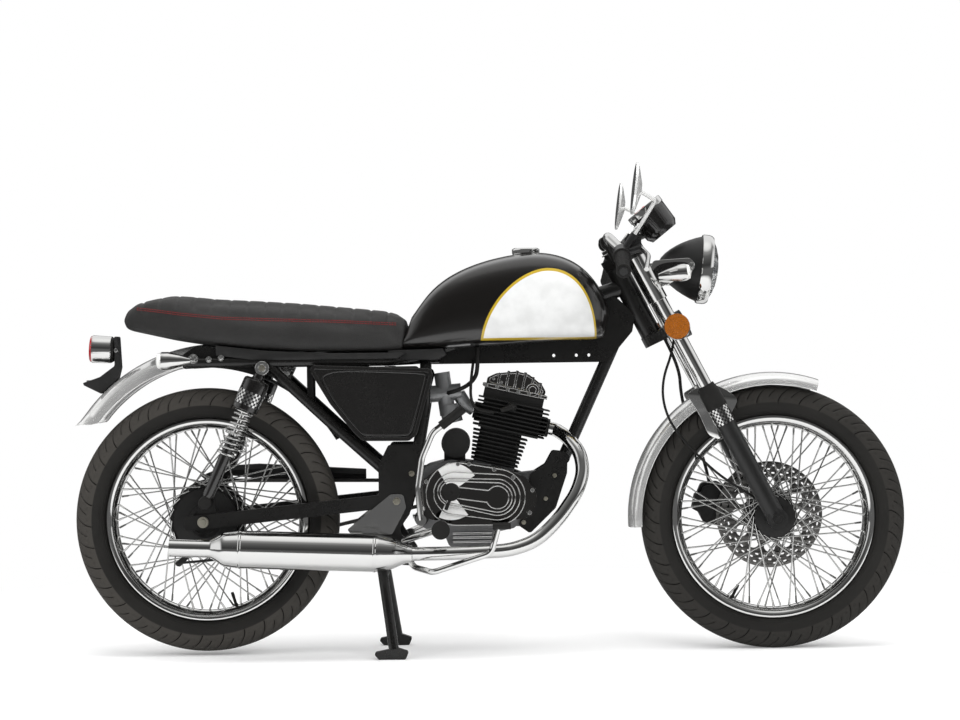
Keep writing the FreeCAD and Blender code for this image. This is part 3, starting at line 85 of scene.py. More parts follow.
def add_node(tree, kind, settings=None, **inputs):
    """A new node with its properties and inputs set. A linked input is joined up."""
    made = tree.nodes.new(kind)
    for name, value in (settings or {}).items():
        setattr(made, name, value)
    for name, value in inputs.items():
        numbered = name[0] == "i" and name[1:].isdigit()
        socket = made.inputs[int(name[1:]) if numbered else name.replace("_", " ")]
        if isinstance(value, bpy.types.NodeSocket):
            tree.links.new(value, socket)
        else:
            socket.default_value = value
    return made


def calc(tree, operation, *values):
    """One Math node's result."""
    inputs = {f"i{number}": value for number, value in enumerate(values)}
    return add_node(tree, "ShaderNodeMath", {"operation": operation}, **inputs).outputs[0]


def eased(tree, value, low, high, to_low=0.0, to_high=1.0):
    """A value eased from one range into another."""
    made = add_node(
        tree, "ShaderNodeMapRange", {"interpolation_type": "SMOOTHSTEP"}, Value=value,
        From_Min=low, From_Max=high, To_Min=to_low, To_Max=to_high)
    return made.outputs[0]


def mixed(tree, share, first, second):
    """A colour between two others."""
    return add_node(tree, "ShaderNodeMix", {"data_type": "RGBA"}, i0=share, i6=first, i7=second).outputs[2]


def own_place(tree):
    """The piece's own coordinates."""
    return add_node(tree, "ShaderNodeTexCoord").outputs["Object"]


def ray_kinds(tree):
    """Masks of the rays seen directly or through glass, and of those mirrored in metal."""
    path = add_node(tree, "ShaderNodeLightPath").outputs
    return calc(tree, "MAXIMUM", path["Is Camera Ray"], path["Is Transmission Ray"]), path["Is Glossy Ray"]


def grey(level):
    """A colour without a hue."""
    return (level, level, level, 1)


# What polished metal mirrors of the walls, from straight below to straight above
WALL_TONES = [
    (0.0, 0.8), (0.42, 0.9), (0.465, 0.15), (0.52, 0.09), (0.6, 0.04), (0.74, 0.08), (0.84, 0.13), (0.92, 0.3),
    (0.96, 0.8), (1.0, 1.0)]
world = bpy.data.worlds.new("studio")
world.use_nodes = True
bpy.context.scene.world = world
sky = world.node_tree
sky.nodes.clear()
direct, glossy = ray_kinds(sky)
place = add_node(sky, "ShaderNodeTexCoord").outputs["Generated"]
toward = add_node(sky, "ShaderNodeSeparateXYZ", Vector=place).outputs
height = add_node(sky, "ShaderNodeMapRange", Value=toward["Z"], From_Min=-1.0, From_Max=1.0).outputs[0]
tones = add_node(sky, "ShaderNodeValToRGB", Fac=height)
for stop, (position, level) in enumerate(WALL_TONES):
    stops = tones.color_ramp.elements
    entry = stops[stop] if stop < 2 else stops.new(position)
    entry.position = position
    entry.color = (level, level, level * 0.99, 1)
ends = eased(sky, calc(sky, "ABSOLUTE", toward["X"]), 0.62, 0.9)
far_side = calc(sky, "MULTIPLY", eased(sky, toward["Y"], 0.0, 0.45), eased(sky, toward["Z"], 0.25, 0.5))
walls = mixed(sky, calc(sky, "MAXIMUM", far_side, ends), tones.outputs["Color"], grey(0.85))
seen_walls = mixed(sky, direct, mixed(sky, glossy, grey(0.62), walls), grey(1))
backdrop = add_node(sky, "ShaderNodeBackground", Color=seen_walls)
add_node(sky, "ShaderNodeOutputWorld", Surface=backdrop.outputs[0])

# Polished metal shows the walls, not the lamps
for name, place, aim, width, length, power in (
        ("overhead_box", (0, -0.4, 3.4), (0, 0, 0.4), 3.6, 2.0, 95),
        ("front_box", (1.4, -3.6, 2.4), (0, 0, 0.6), 2.2, 1.6, 70),
        ("rear_box", (-2.6, -2.6, 1.9), (-0.3, 0, 0.5), 1.4, 1.6, 34)):
    lamp = bpy.data.lights.new(name, "AREA")
    lamp.shape = "RECTANGLE"
    lamp.size = width
    lamp.size_y = length
    lamp.energy = power
    holder = put_object(name, lamp)
    holder.location = place
    holder.rotation_euler = (Vector(aim) - Vector(place)).to_track_quat("-Z", "Y").to_euler()
    holder.visible_glossy = False

floor_mesh = bpy.data.meshes.new("floor")
plan = bmesh.new()
bmesh.ops.create_grid(plan, x_segments=1, y_segments=1, size=150)
plan.to_mesh(floor_mesh)
plan.free()
floor = put_object("floor", floor_mesh)
paper = bpy.data.materials.new("floor_paper")
paper.use_nodes = True
tree = paper.node_tree
tree.nodes.clear()
direct, glossy = ray_kinds(tree)
away = add_node(tree, "ShaderNodeVectorMath", {"operation": "LENGTH"}, i0=own_place(tree)).outputs["Value"]
fade = add_node(tree, "ShaderNodeMapRange", Value=away, From_Min=1.3, From_Max=2.3).outputs[0]
glow = add_node(tree, "ShaderNodeEmission", Color=grey(1), Strength=calc(tree, "MULTIPLY", direct, 0.2))
lit = add_node(tree, "ShaderNodeBsdfDiffuse", Color=grey(0.82))
near_seen = add_node(tree, "ShaderNodeAddShader", i0=lit.outputs[0], i1=glow.outputs[0])
far_seen = add_node(tree, "ShaderNodeEmission", Color=grey(1), Strength=1.0)
near_mirrored = add_node(tree, "ShaderNodeBsdfDiffuse", Color=grey(0.68))
far_mirrored = add_node(tree, "ShaderNodeEmission", Color=grey(1), Strength=0.12)


def mix_shaders(share, first, second):
    """The floor's look between two others."""
    return add_node(tree, "ShaderNodeMixShader", i0=share, i1=first.outputs[0], i2=second.outputs[0])


seen = mix_shaders(calc(tree, "MULTIPLY", direct, fade), near_seen, far_seen)
mirrored = mix_shaders(eased(tree, away, 1.5, 2.6), near_mirrored, far_mirrored)
add_node(tree, "ShaderNodeOutputMaterial", Surface=mix_shaders(glossy, seen, mirrored).outputs[0])
floor_mesh.materials.append(paper)


# Tyres
# Road tyres of charcoal rubber on 18 inch rims. Each shoulder is cut by long curved grooves
# with short ones and small pits between them, and a groove runs round the crown.

def measured_from(tree, centre):
    """Object coordinates measured from a point, as separate X, Y and Z."""
    moved = add_node(
        tree, "ShaderNodeMapping", {"vector_type": "TEXTURE"}, Vector=own_place(tree), Location=centre)
    return add_node(tree, "ShaderNodeSeparateXYZ", Vector=moved.outputs[0]).outputs


def reach_of(tree, x, z):
    """The distance from the middle, in a side view."""
    return calc(tree, "SQRT", calc(tree, "ADD", calc(tree, "MULTIPLY", x, x), calc(tree, "MULTIPLY", z, z)))


def noise(tree, scale, detail, roughness=0.5):
    """Cloudy noise over the piece."""
    made = add_node(
        tree, "ShaderNodeTexNoise", Vector=own_place(tree), Scale=scale, Detail=detail, Roughness=roughness)
    return made.outputs["Fac"]


def new_group(name, inputs, outputs):
    """A shader node group with its named sockets, given as (name, kind, value)."""
    group = bpy.data.node_groups.new(name, "ShaderNodeTree")
    for label, kind, value in inputs:
        socket = group.interface.new_socket(name=label, in_out="INPUT", socket_type="NodeSocket" + kind)
        socket.default_value = value
    for label, kind in outputs:
        group.interface.new_socket(name=label, in_out="OUTPUT", socket_type="NodeSocket" + kind)
    return group, group.nodes.new("NodeGroupInput").outputs, group.nodes.new("NodeGroupOutput").inputs


def put_group(tree, group, **inputs):
    """The group placed in a material, with its inputs set or linked."""
    return add_node(tree, "ShaderNodeGroup", {"node_tree": group}, **inputs).outputs


# Speckled wear: soft patches and fine specks that vary a colour and a roughness
group, given, result = new_group(
    "speckled wear",
    [("Colour", "Color", grey(0.5)), ("Worn Colour", "Color", grey(0.6)), ("Amount", "Float", 0.3),
     ("Scale", "Float", 12.0), ("Low Roughness", "Float", 0.3), ("High Roughness", "Float", 0.5)],
    [("Colour", "Color"), ("Roughness", "Float")])
wear_group = group
patches = noise(group, given["Scale"], 6.0, 0.62)
specks = noise(group, calc(group, "MULTIPLY", given["Scale"], 14.0), 3.0, 0.7)
share = calc(group, "MULTIPLY_ADD", specks, 0.35, calc(group, "MULTIPLY", patches, 0.65))
share = eased(group, share, 0.36, 0.66)
worn = mixed(group, calc(group, "MULTIPLY", share, given["Amount"]), given["Colour"], given["Worn Colour"])
rough = add_node(
    group, "ShaderNodeMapRange", Value=share, To_Min=given["Low Roughness"], To_Max=given["High Roughness"])
group.links.new(worn, result["Colour"])
group.links.new(rough.outputs[0], result["Roughness"])


def new_material(name, **sockets):
    """A material with its shader's own sockets set."""
    material = bpy.data.materials.new(name)
    material.use_nodes = True
    for word, value in sockets.items():
        material.node_tree.nodes["Principled BSDF"].inputs[word.replace("_", " ")].default_value = value
    return material


def feed(material, **values):
    """Links what changes over the surface to the material's shader."""
    tree = material.node_tree
    for word, value in values.items():
        tree.links.new(value, tree.nodes["Principled BSDF"].inputs[word.replace("_", " ")])


def fed(material, word):
    """What a socket of the material's shader is linked to."""
    return material.node_tree.nodes["Principled BSDF"].inputs[word].links[0].from_socket


def bumped(material, height, distance):
    """Raises the surface by a height; distance is in metres."""
    relief = add_node(material.node_tree, "ShaderNodeBump", Height=height, Distance=distance)
    feed(material, Normal=relief.outputs[0])


def surfaced(name, color, worn, amount, scale, low, high, metallic=0.0, **sockets):
    """A material whose colour and roughness pass through the speckled wear."""
    material = new_material(name, Metallic=metallic, **sockets)
    wear = put_group(
        material.node_tree, wear_group, Colour=(*color, 1), Worn_Colour=(*worn, 1), Amount=amount, Scale=scale,
        Low_Roughness=low, High_Roughness=high)
    feed(material, Base_Color=wear["Colour"], Roughness=wear["Roughness"])
    return material


def tyre_rubber(name, centre, dust):
    """Rubber that is dustier on the tread than on the walls, which carry a raised ring."""
    material = surfaced(
        name, (0.012, 0.0115, 0.0105), (0.02, 0.019, 0.0175), 0.6, 9.0, 0.6, 0.78, Specular_IOR_Level=0.25)
    tree = material.node_tree
    x, y, z = measured_from(tree, centre)
    radius = reach_of(tree, x, z)
    off_ring = calc(tree, "ABSOLUTE", calc(tree, "SUBTRACT", radius, 0.2505))
    bumped(material, eased(tree, off_ring, 0.0008, 0.0016, 1.0, 0.0), 0.0006)
    on_tread = calc(tree, "MULTIPLY", eased(tree, radius, 0.2715, 0.2745), dust)
    feed(material, Base_Color=mixed(tree, on_tread, fed(material, "Base Color"), (0.05, 0.046, 0.041, 1)))
    return material


def put_piece(name, form, materials, body, replaces=None, angle=32, edge=0.0):
    """The finished mesh as a named piece that rides on a body, its edges rounded if asked."""
    for line in form.edges:
        line.smooth = line.is_manifold and line.calc_face_angle(0) < math.radians(angle)
    for face in form.faces:
        face.smooth = True
    mesh = bpy.data.meshes.new(name)
    form.to_mesh(mesh)
    form.free()
    piece = put_object(name, mesh)
    for material in materials if isinstance(materials, list) else [materials]:
        mesh.materials.append(material)
    if edge:
        rounding = piece.modifiers.new("edges", "BEVEL")
        rounding.width = edge
        rounding.segments = 2
        rounding.limit_method = "ANGLE"
        rounding.angle_limit = math.radians(angle)
        rounding.use_clamp_overlap = True
    if replaces:
        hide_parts(replaces)
    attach(piece, body)
    return piece


def stood(foot, axis):
    """Moves what was made along Z to stand on a point, along an axis."""
    return Matrix.Translation(foot) @ Vector((0, 0, 1)).rotation_difference(Vector(axis)).to_matrix().to_4x4()


def spun(section, steps, closed):
    """A form spun round Z from a section of (radius, height), in metres."""
    form = bmesh.new()
    ring = [form.verts.new((radius, 0, along)) for radius, along in section]
    lines = [form.edges.new(pair) for pair in zip(ring, ring[1:] + ring[:1] if closed else ring[1:])]
    bmesh.ops.spin(
        form, geom=ring + lines, cent=(0, 0, 0), axis=(0, 0, 1), angle=2 * math.pi, steps=steps, use_merge=True)
    bmesh.ops.remove_doubles(form, verts=form.verts, dist=0.000002)
    return form


def turned(section, centre, axis=(0, 1, 0), steps=96, closed=True):
    """A form turned round any axis from a section of (radius, place along the axis)."""
    form = spun(section, steps, closed)
    bmesh.ops.recalc_face_normals(form, faces=form.faces)
    form.transform(stood(centre, axis))
    return form


def directions(line):
    """The unit direction of an open line at each of its points."""
    found = []
    for index in range(len(line)):
        before, after = line[max(index - 1, 0)], line[min(index + 1, len(line) - 1)]
        along = (after[0] - before[0], after[1] - before[1])
        size = math.hypot(*along)
        found.append((along[0] / size, along[1] / size))
    return found


FRONT_AXLE = (0.675, 0, 0.314)
REAR_AXLE = (-0.675, 0, 0.324)
SHOULDER_RADIUS = 0.272
CROWN_RADIUS = 0.314
GROOVE_DEPTH = 0.003
TREAD_REPEATS = 34
# One repeat of the tread round the tyre: the two ends and the middle are cut
TREAD_COLUMNS = (
    0.018, 0.030, 0.14, 0.235, 0.265, 0.36, 0.475, 0.486, 0.514, 0.525, 0.64, 0.735, 0.765, 0.86, 0.970, 0.982)
PIT_COLUMNS = (0.235, 0.265, 0.735, 0.765)


def treaded(half):
    """A tyre's outer skin round Z, its columns bent along the grooves and sunk where they are cut."""
    wall = [
        (0.2316, 0.024), (0.243, 0.0242), (0.2475, half * 0.78), (0.2545, half * 0.91), (0.2625, half * 0.985),
        (0.268, half)]
    rise = CROWN_RADIUS - SHOULDER_RADIUS
    leans = [math.radians(3.75 * step) for step in range(17)]
    cap = [(SHOULDER_RADIUS + rise * math.sin(lean), half * math.sqrt(math.cos(lean))) for lean in leans]
    for share in (0.64, 0.57, 0.5, 0.43, 0.36, 0.29, 0.22, 0.15, 0.09, 0.05, 0.038, 0.0):
        cap.append((SHOULDER_RADIUS + rise * math.sqrt(1 - share ** 4), half * share))
    gone = [0.0]
    for near, far in zip(cap, cap[1:]):
        gone.append(gone[-1] + math.dist(near, far))
    rows = {
        (round(radius, 5), round(y, 5)): (walked / gone[-1], -along[1], along[0])
        for (radius, y), walked, along in zip(cap, gone, directions(cap))}
    section = wall + cap + [(radius, -y) for radius, y in reversed(wall + cap[:-1])]
    columns = len(TREAD_COLUMNS)
    round_count = TREAD_REPEATS * columns
    form = turned(section, (0, 0, 0), (0, 0, 1), steps=round_count)
    cut = set()
    form.verts.index_update()
    for point in form.verts:
        radius, y = math.hypot(point.co.x, point.co.y), point.co.z
        number = round(math.atan2(point.co.y, point.co.x) / (2 * math.pi) * round_count) % round_count
        share = TREAD_COLUMNS[number % columns]
        climb, out, across = rows.get((round(radius, 5), round(abs(y), 5)), (0.0, 0.0, 0.0))
        depth = GROOVE_DEPTH if abs(y) < 0.0021 and climb else 0.0
        if min(share, 1 - share) < 0.02 and 0.03 < climb < 0.8:
            depth = GROOVE_DEPTH
        if abs(share - 0.5) < 0.02 and 0.2 < climb < 0.56:
            depth = GROOVE_DEPTH - 0.0004
        if depth:
            cut.add(point.index)
        if share in PIT_COLUMNS and 0.14 < climb < 0.19:
            depth = GROOVE_DEPTH - 0.001
        stagger = math.copysign(0.25 * (1 - climb * climb), y) if abs(y) > 0.0001 else 0.0
        turn = (number // columns + share + 1.235 * climb ** 1.7 + stagger) / TREAD_REPEATS * 2 * math.pi
        radius -= out * depth
        y -= math.copysign(across * depth, y)
        point.co = (radius * math.cos(turn), radius * math.sin(turn), y)
    # Faces that are wholly cut take the second material, painted shade in the grooves
    for face in form.faces:
        face.material_index = int(all(point.index in cut for point in face.verts))
    return form


# The grooves' rubber is darker than the tyre's own: painted shade in the grooves
groove_painted_shade = surfaced(
    "tread_grooves_painted_shade", (0.004, 0.0038, 0.0036), (0.008, 0.0076, 0.0072), 0.5, 20.0, 0.7, 0.85,
    Specular_IOR_Level=0.15)
for tyre, axle, half, dust in (("front_tyre", FRONT_AXLE, 0.045, 0.3), ("rear_tyre", REAR_AXLE, 0.052, 0.85)):
    form = treaded(half)
    form.transform(Matrix.Translation(axle) @ Matrix.Rotation(math.radians(-90), 4, "X"))
    skin = tyre_rubber(tyre + "_rubber", axle, dust)
    put_piece(tyre + "_rubber", form, [skin, groove_painted_shade], tyre[:-5] + "_wheel", tyre, angle=30)


# Rims and spokes
# Rolled steel rims, chromed, each carried by 72 wire spokes crossed over one another. The
# spokes hook through the hub flanges and screw into nipples that sit in the rim's bed.

# Polish haze: clouds that dull a shine in patches
group, given, result = new_group(
    "polish haze", [("Polish", "Float", 0.05), ("Haze", "Float", 0.14), ("Scale", "Float", 14.0)],
    [("Roughness", "Float")])
haze_group = group
clouds = eased(group, noise(group, given["Scale"], 5.0, 0.65), 0.42, 0.72)
haze = add_node(group, "ShaderNodeMapRange", Value=clouds, To_Min=given["Polish"], To_Max=given["Haze"])
group.links.new(haze.outputs[0], result["Roughness"])


def polished(name, color, polish, haze, scale=14.0, metallic=1.0):
    """Bright metal whose shine is a little clouded in patches."""
    material = new_material(name, Base_Color=(*color, 1), Metallic=metallic)
    rough = put_group(material.node_tree, haze_group, Polish=polish, Haze=haze, Scale=scale)
    feed(material, Roughness=rough["Roughness"])
    return material


def softened(section, share, rounds=2):
    """A closed section with its corners cut back, twice by default, into curves."""
    for _ in range(rounds):
        cut = []
        for index, here in enumerate(section):
            for other in (section[index - 1], section[(index + 1) % len(section)]):
                cut.append(tuple(h + (o - h) * share for h, o in zip(here, other)))
        section = cut
    return section


chrome = polished("chrome", (0.83, 0.83, 0.82), 0.045, 0.12)
well = [(0.242, 0.025), (0.231, 0.0245), (0.229, 0.015), (0.221, 0.008)]
back = [(0.217, 0.012), (0.225, 0.024), (0.2335, 0.0298), (0.242, 0.0293)]
section = [(r, -y) for r, y in well] + well[::-1] + back[::-1] + [(r, -y) for r, y in back]
for wheel, axle in (("front", FRONT_AXLE), ("rear", REAR_AXLE)):
    form = turned(softened(section, 0.25), axle, steps=144)
    put_piece(wheel + "_rim_shell", form, chrome, wheel + "_wheel", wheel + "_rim", angle=50)


def add_rod(form, start, end, radius, sides=8, end_radius=None):
    """A round bar or cone between two points, added to a form."""
    start, end = Vector(start), Vector(end)
    bmesh.ops.create_cone(
        form, cap_ends=True, segments=sides, radius1=radius,
        radius2=radius if end_radius is None else end_radius,
        depth=(end - start).length, matrix=stood((start + end) / 2, end - start))


def rods(*bars):
    """A form of round bars, each given as (start, end, radius, sides, end radius)."""
    form = bmesh.new()
    for bar in bars:
        add_rod(form, *bar)
    return form


SPOKE_RADIUS = 0.00175
NIPPLE_RADIUS = 0.0028
RIM_BED = 0.217


def laced_spokes(axle, flange, faces, lead):
    """All the spokes and nipples of one wheel. Outer and inner spokes lean opposite ways."""
    form = bmesh.new()
    hole_radius = flange - 0.005
    for side, (inner_face, outer_face) in enumerate(faces):
        outward = 1 if outer_face > inner_face else -1
        for number in range(36):
            outboard = number % 2 == 0
            hub_angle = math.radians(10 * (number + side / 2))
            rim_angle = hub_angle + math.radians(lead if outboard else -lead)
            hub = Vector((math.cos(hub_angle), 0, math.sin(hub_angle))) * hole_radius
            seat = Vector((math.cos(rim_angle), 0, math.sin(rim_angle))) * RIM_BED
            hub.y = (outer_face if outboard else inner_face) + outward * 0.002 * (1 if outboard else -1)
            seat.y = outward * (0.0105 if outboard else 0.005)
            if outboard:
                run = seat - hub
                flat = math.hypot(run.x, run.z)
                toward = (hub.x * run.x + hub.z * run.z) / flat
                on_flange = math.sqrt(toward ** 2 - (hole_radius ** 2 - flange ** 2)) - toward
                hub.y += outward * (abs(hub.y) - abs(seat.y)) * on_flange / (flat - on_flange)
            start, end = hub + Vector(axle), seat + Vector(axle)
            run = (end - start).normalized()
            add_rod(form, start, end, SPOKE_RADIUS)
            add_rod(form, end - run * 0.017, end - run * 0.001, NIPPLE_RADIUS * 0.8, 6, NIPPLE_RADIUS)
            bmesh.ops.create_uvsphere(
                form, u_segments=8, v_segments=5, radius=SPOKE_RADIUS * 1.5, matrix=Matrix.Translation(start))
    return form


spoke_wire = polished("spoke_wire", (0.62, 0.62, 0.61), 0.1, 0.22)
rubber = surfaced(
    "moulded_rubber", (0.009, 0.0087, 0.0083), (0.018, 0.0174, 0.0165), 0.5, 16.0, 0.5, 0.7,
    Specular_IOR_Level=0.25)
for wheel, axle, flange, faces, lead, valve_turn in (
        ("front", FRONT_AXLE, 0.054, [(-0.040, -0.044), (0.040, 0.044)], 70, 243),
        ("rear", REAR_AXLE, 0.086, [(-0.046, -0.052), (0.042, 0.046)], 60, 287)):
    form = laced_spokes(axle, flange, faces, lead)
    put_piece(wheel + "_spoke_wires", form, spoke_wire, wheel + "_wheel", wheel + "_spokes", angle=50)
    turn = math.radians(valve_turn)
    outward = Vector((math.cos(turn), 0, math.sin(turn)))
    foot = Vector(axle) + outward * (RIM_BED + 0.001)
    tip = foot - outward * 0.034
    form = rods(
        (foot, foot - outward * 0.006, 0.0065, 16, 0.0042), (foot - outward * 0.005, tip, 0.0036, 12),
        (tip + outward * 0.012, tip, 0.0042, 12, 0.0036))
    put_piece(wheel + "_valve", form, rubber, wheel + "_wheel", edge=0.0005)


# Hubs and front brake
# Cast hubs painted satin black. The drilled and slotted steel disc is bolted to the left of
# the front hub, and a two-pot caliper hangs behind the left fork leg.

# Cast grain: fine grit over low lumps
group, given, result = new_group(
    "cast grain", [("Scale", "Float", 900.0), ("Coarse", "Float", 0.4)], [("Height", "Float")])
grain_group = group
grit = noise(group, given["Scale"], 4.0, 0.6)
lumps = noise(group, calc(group, "MULTIPLY", given["Scale"], 0.12), 2.0)
group.links.new(calc(group, "ADD", grit, calc(group, "MULTIPLY", lumps, given["Coarse"])), result["Height"])


def cast_metal(name, color, worn, low, high, metallic, depth, scale, **sockets):
    """A casting: grainy, a little blotched, painted or bare."""
    material = surfaced(name, color, worn, 0.5, 10.0, low, high, metallic, **sockets)
    bumped(material, put_group(material.node_tree, grain_group, Scale=scale)["Height"], depth)
    return material


cast_black = cast_metal(
    "black_castings", (0.007, 0.0069, 0.0067), (0.014, 0.0138, 0.0134), 0.36, 0.52, 0.0, 0.00025, 900.0,
    Specular_IOR_Level=0.35)
enamel = surfaced(
    "black_enamel", (0.006, 0.0058, 0.0055), (0.011, 0.0106, 0.01), 0.4, 7.0, 0.24, 0.36,
    Specular_IOR_Level=0.4,
    Coat_Weight=0.25, Coat_Roughness=0.1)
brushed_steel = cast_metal(
    "brushed_steel", (0.17, 0.167, 0.16), (0.25, 0.245, 0.24), 0.3, 0.44, 1.0, 0.00008, 600.0)
zinc = cast_metal("zinc_plated", (0.55, 0.52, 0.42), (0.62, 0.6, 0.54), 0.24, 0.4, 1.0, 0.00005, 500.0)
dark_steel = cast_metal("dark_steel", (0.12, 0.118, 0.115), (0.2, 0.195, 0.19), 0.34, 0.5, 1.0, 0.0001, 500.0)


def dressed(node, materials, edge=0.0, angle=32, choose=None):
    """The CAD node's own form, welded and smooth-shaded. Places choose among its materials."""
    source = frame["nodes"][node]
    form = bmesh.new()
    form.from_mesh(source.data)
    bmesh.ops.remove_doubles(form, verts=form.verts, dist=0.00002)
    if edge:
        bmesh.ops.dissolve_limit(form, angle_limit=math.radians(0.6), verts=form.verts, edges=form.edges)
    if choose:
        for face in form.faces:
            face.material_index = int(choose(face.calc_center_median()))
    return put_piece(node + "_skin", form, materials, source["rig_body"], node, angle, edge)


def add_hexes(form, places, axis, size, height):
    """Hexagon bolt heads with washers, standing on points of a face."""
    axis = Vector(axis).normalized()
    for point in places:
        foot = Vector(point)
        add_rod(form, foot - axis * 0.001, foot + axis * 0.0014, size * 0.72, 20)
        add_rod(form, foot + axis * 0.001, foot + axis * height, size * 0.56, 6)


def ring_of(radius, count, first=0.0):
    """Points of (x, z) evenly round the front axle, in a side view."""
    turns = [math.radians(first) + 2 * math.pi * number / count for number in range(count)]
    return [
        (FRONT_AXLE[0] + radius * math.cos(turn), FRONT_AXLE[2] + radius * math.sin(turn)) for turn in turns]


def meshed(data, weld=None, place=None, into=None):
    """A curve or a text made into a form, or put in its place and added to one."""
    holder = bpy.data.objects.new(data.name, data)
    filled = bpy.data.meshes.new_from_object(holder)
    if place:
        filled.transform(place)
    form = bmesh.new() if into is None else into
    form.from_mesh(filled)
    bpy.data.objects.remove(holder)
    bpy.data.meshes.remove(filled)
    if weld:
        bmesh.ops.remove_doubles(form, verts=form.verts, dist=weld)
    return form


def pierced_plate(loops, y_low, y_high, bevel):
    """A flat plate facing sideways, cut from closed loops of (x, z). Loops inside others are holes."""
    flat = bpy.data.curves.new("flat", "CURVE")
    flat.dimensions = "2D"
    flat.fill_mode = "BOTH"
    flat.extrude = (y_high - y_low) / 2 - bevel
    flat.bevel_depth = bevel
    flat.bevel_resolution = 1
    for loop in loops:
        line = flat.splines.new("POLY")
        line.points.add(len(loop) - 1)
        line.use_cyclic_u = True
        for point, (x, z) in zip(line.points, loop):
            point.co = (x, z, 0, 1)
    form = meshed(flat, 0.00001)
    upright = Matrix.Rotation(math.radians(90), 4, "X")
    form.transform(Matrix.Translation((0, (y_low + y_high) / 2, 0)) @ upright)
    bmesh.ops.recalc_face_normals(form, faces=form.faces)
    return form


def round_loop(x, z, radius, steps, stretch=1.0, turn=0.0):
    """A circle, or a slot drawn out along a direction, as points of (x, z)."""
    loop = []
    for step in range(steps):
        angle = 2 * math.pi * step / steps
        across, ahead = radius * math.cos(angle), radius * math.sin(angle)
        ahead += math.copysign((stretch - 1) * radius, ahead)
        loop.append((
            x + across * math.cos(turn) - ahead * math.sin(turn),
            z + across * math.sin(turn) + ahead * math.cos(turn)))
    return loop


DISC_FACES = (0.057, 0.061)

for node in ("front_hub", "rear_hub"):
    dressed(node, cast_black, 0.001)
axle_x, axle_z = FRONT_AXLE[0], FRONT_AXLE[2]
loops = [round_loop(axle_x, axle_z, 0.128, 144), round_loop(axle_x, axle_z, 0.0345, 48)]
loops += [round_loop(x, z, 0.014, 28) for x, z in ring_of(0.077, 12)]
for row, radius in enumerate((0.1005, 0.1095, 0.1185)):
    for x, z in ring_of(radius, 30, row * 6):
        loops.append(round_loop(x, z, 0.0024, 12, 1.9, math.atan2(z - axle_z, x - axle_x)))
form = pierced_plate(loops, *DISC_FACES, 0.0004)
put_piece("brake_disc_rotor", form, brushed_steel, "front_wheel", "brake_disc", angle=30)
form = turned(
    [(0.0078, 0.056), (0.0345, 0.056), (0.0345, 0.061), (0.0078, 0.061)], (axle_x, 0, axle_z), steps=48)
put_piece("brake_disc_boss", form, cast_black, "front_wheel")
form = bmesh.new()
add_hexes(form, [(x, DISC_FACES[1], z) for x, z in ring_of(0.045, 6, 15)], (0, 1, 0), 0.0085, 0.0055)
put_piece("brake_disc_bolts", form, zinc, "front_wheel", edge=0.0004)
dressed("front_axle", [zinc, cast_black], 0.0008, choose=lambda place: place.y < 0)
dressed("brake_caliper", cast_black, 0.002)


# Fork
# Polished stanchions slide in satin black lower legs. Each leg has a chequered sleeve near
# its top, under a ribbed rubber boot, and the chromed tubes run up through both yokes.

SIDES = ((-1, "right"), (1, "left"))
RAKE = math.radians(27.4)
FORK_UP = Vector((-math.sin(RAKE), 0, math.cos(RAKE)))
FORK_AHEAD = Vector((math.cos(RAKE), 0, math.sin(RAKE)))
FORK_OFFSET = 0.050
LEG_SPREAD = 0.092
STEERING_FOOT = Vector(FRONT_AXLE) - FORK_AHEAD * FORK_OFFSET


def fork_point(ahead, y, up):
    """A place in the fork's own frame: ahead of the steering axis and up the leg from the axle."""
    place = STEERING_FOOT + FORK_AHEAD * ahead + FORK_UP * up
    return Vector((place.x, y, place.z))


def chequered_sleeve(foot, axis, radius, length, columns, rows, wall=0.001):
    """A thin sleeve whose outer squares alternate between two materials."""
    form = spun([(radius, length * row / rows) for row in range(rows + 1)], columns * 2, False)
    for face in form.faces:
        middle = face.calc_center_median()
        column = int((math.atan2(middle.y, middle.x) % (2 * math.pi)) / (2 * math.pi) * columns)
        face.material_index = (column + int(middle.z / length * rows)) % 2
    made = bmesh.ops.extrude_edge_only(form, edges=[edge for edge in form.edges if edge.is_boundary])
    squeeze = (radius - wall) / radius
    for item in made["geom"]:
        if isinstance(item, bmesh.types.BMVert):
            item.co = (item.co.x * squeeze, item.co.y * squeeze, item.co.z)
        elif isinstance(item, bmesh.types.BMFace):
            item.material_index = 0
    bmesh.ops.bridge_loops(form, edges=[edge for edge in form.edges if edge.is_boundary])
    bmesh.ops.recalc_face_normals(form, faces=form.faces)
    form.transform(stood(foot, axis))
    return form


square_black = surfaced("black_squares", (0.006, 0.006, 0.006), (0.012, 0.012, 0.012), 0.4, 30.0, 0.3, 0.45)
satin_chrome = polished("satin_chrome", (0.8, 0.8, 0.79), 0.12, 0.24)
slider_black = cast_metal(
    "slider_paint", (0.008, 0.008, 0.008), (0.016, 0.016, 0.0155), 0.3, 0.42, 0.0, 0.00012, 700.0)
dressed(
    "fork_sliders", [slider_black, rubber], 0.0012,
    choose=lambda place: (place - STEERING_FOOT).dot(FORK_UP) > 0.2965)
dressed("fork_stanchions", chrome)
bellows = [(0.0158, 0.2975), (0.0252, 0.2975), (0.0252, 0.3005)]
for rib in range(6):
    low = 0.3015 + rib * 0.0078
    bellows += [
        (0.0236 - rib * 0.0005, low), (0.0252 - rib * 0.0006, low + 0.0028),
        (0.0250 - rib * 0.0006, low + 0.0052)]
bellows += [(0.0205, 0.3505), (0.0200, 0.3560), (0.0158, 0.3560)]
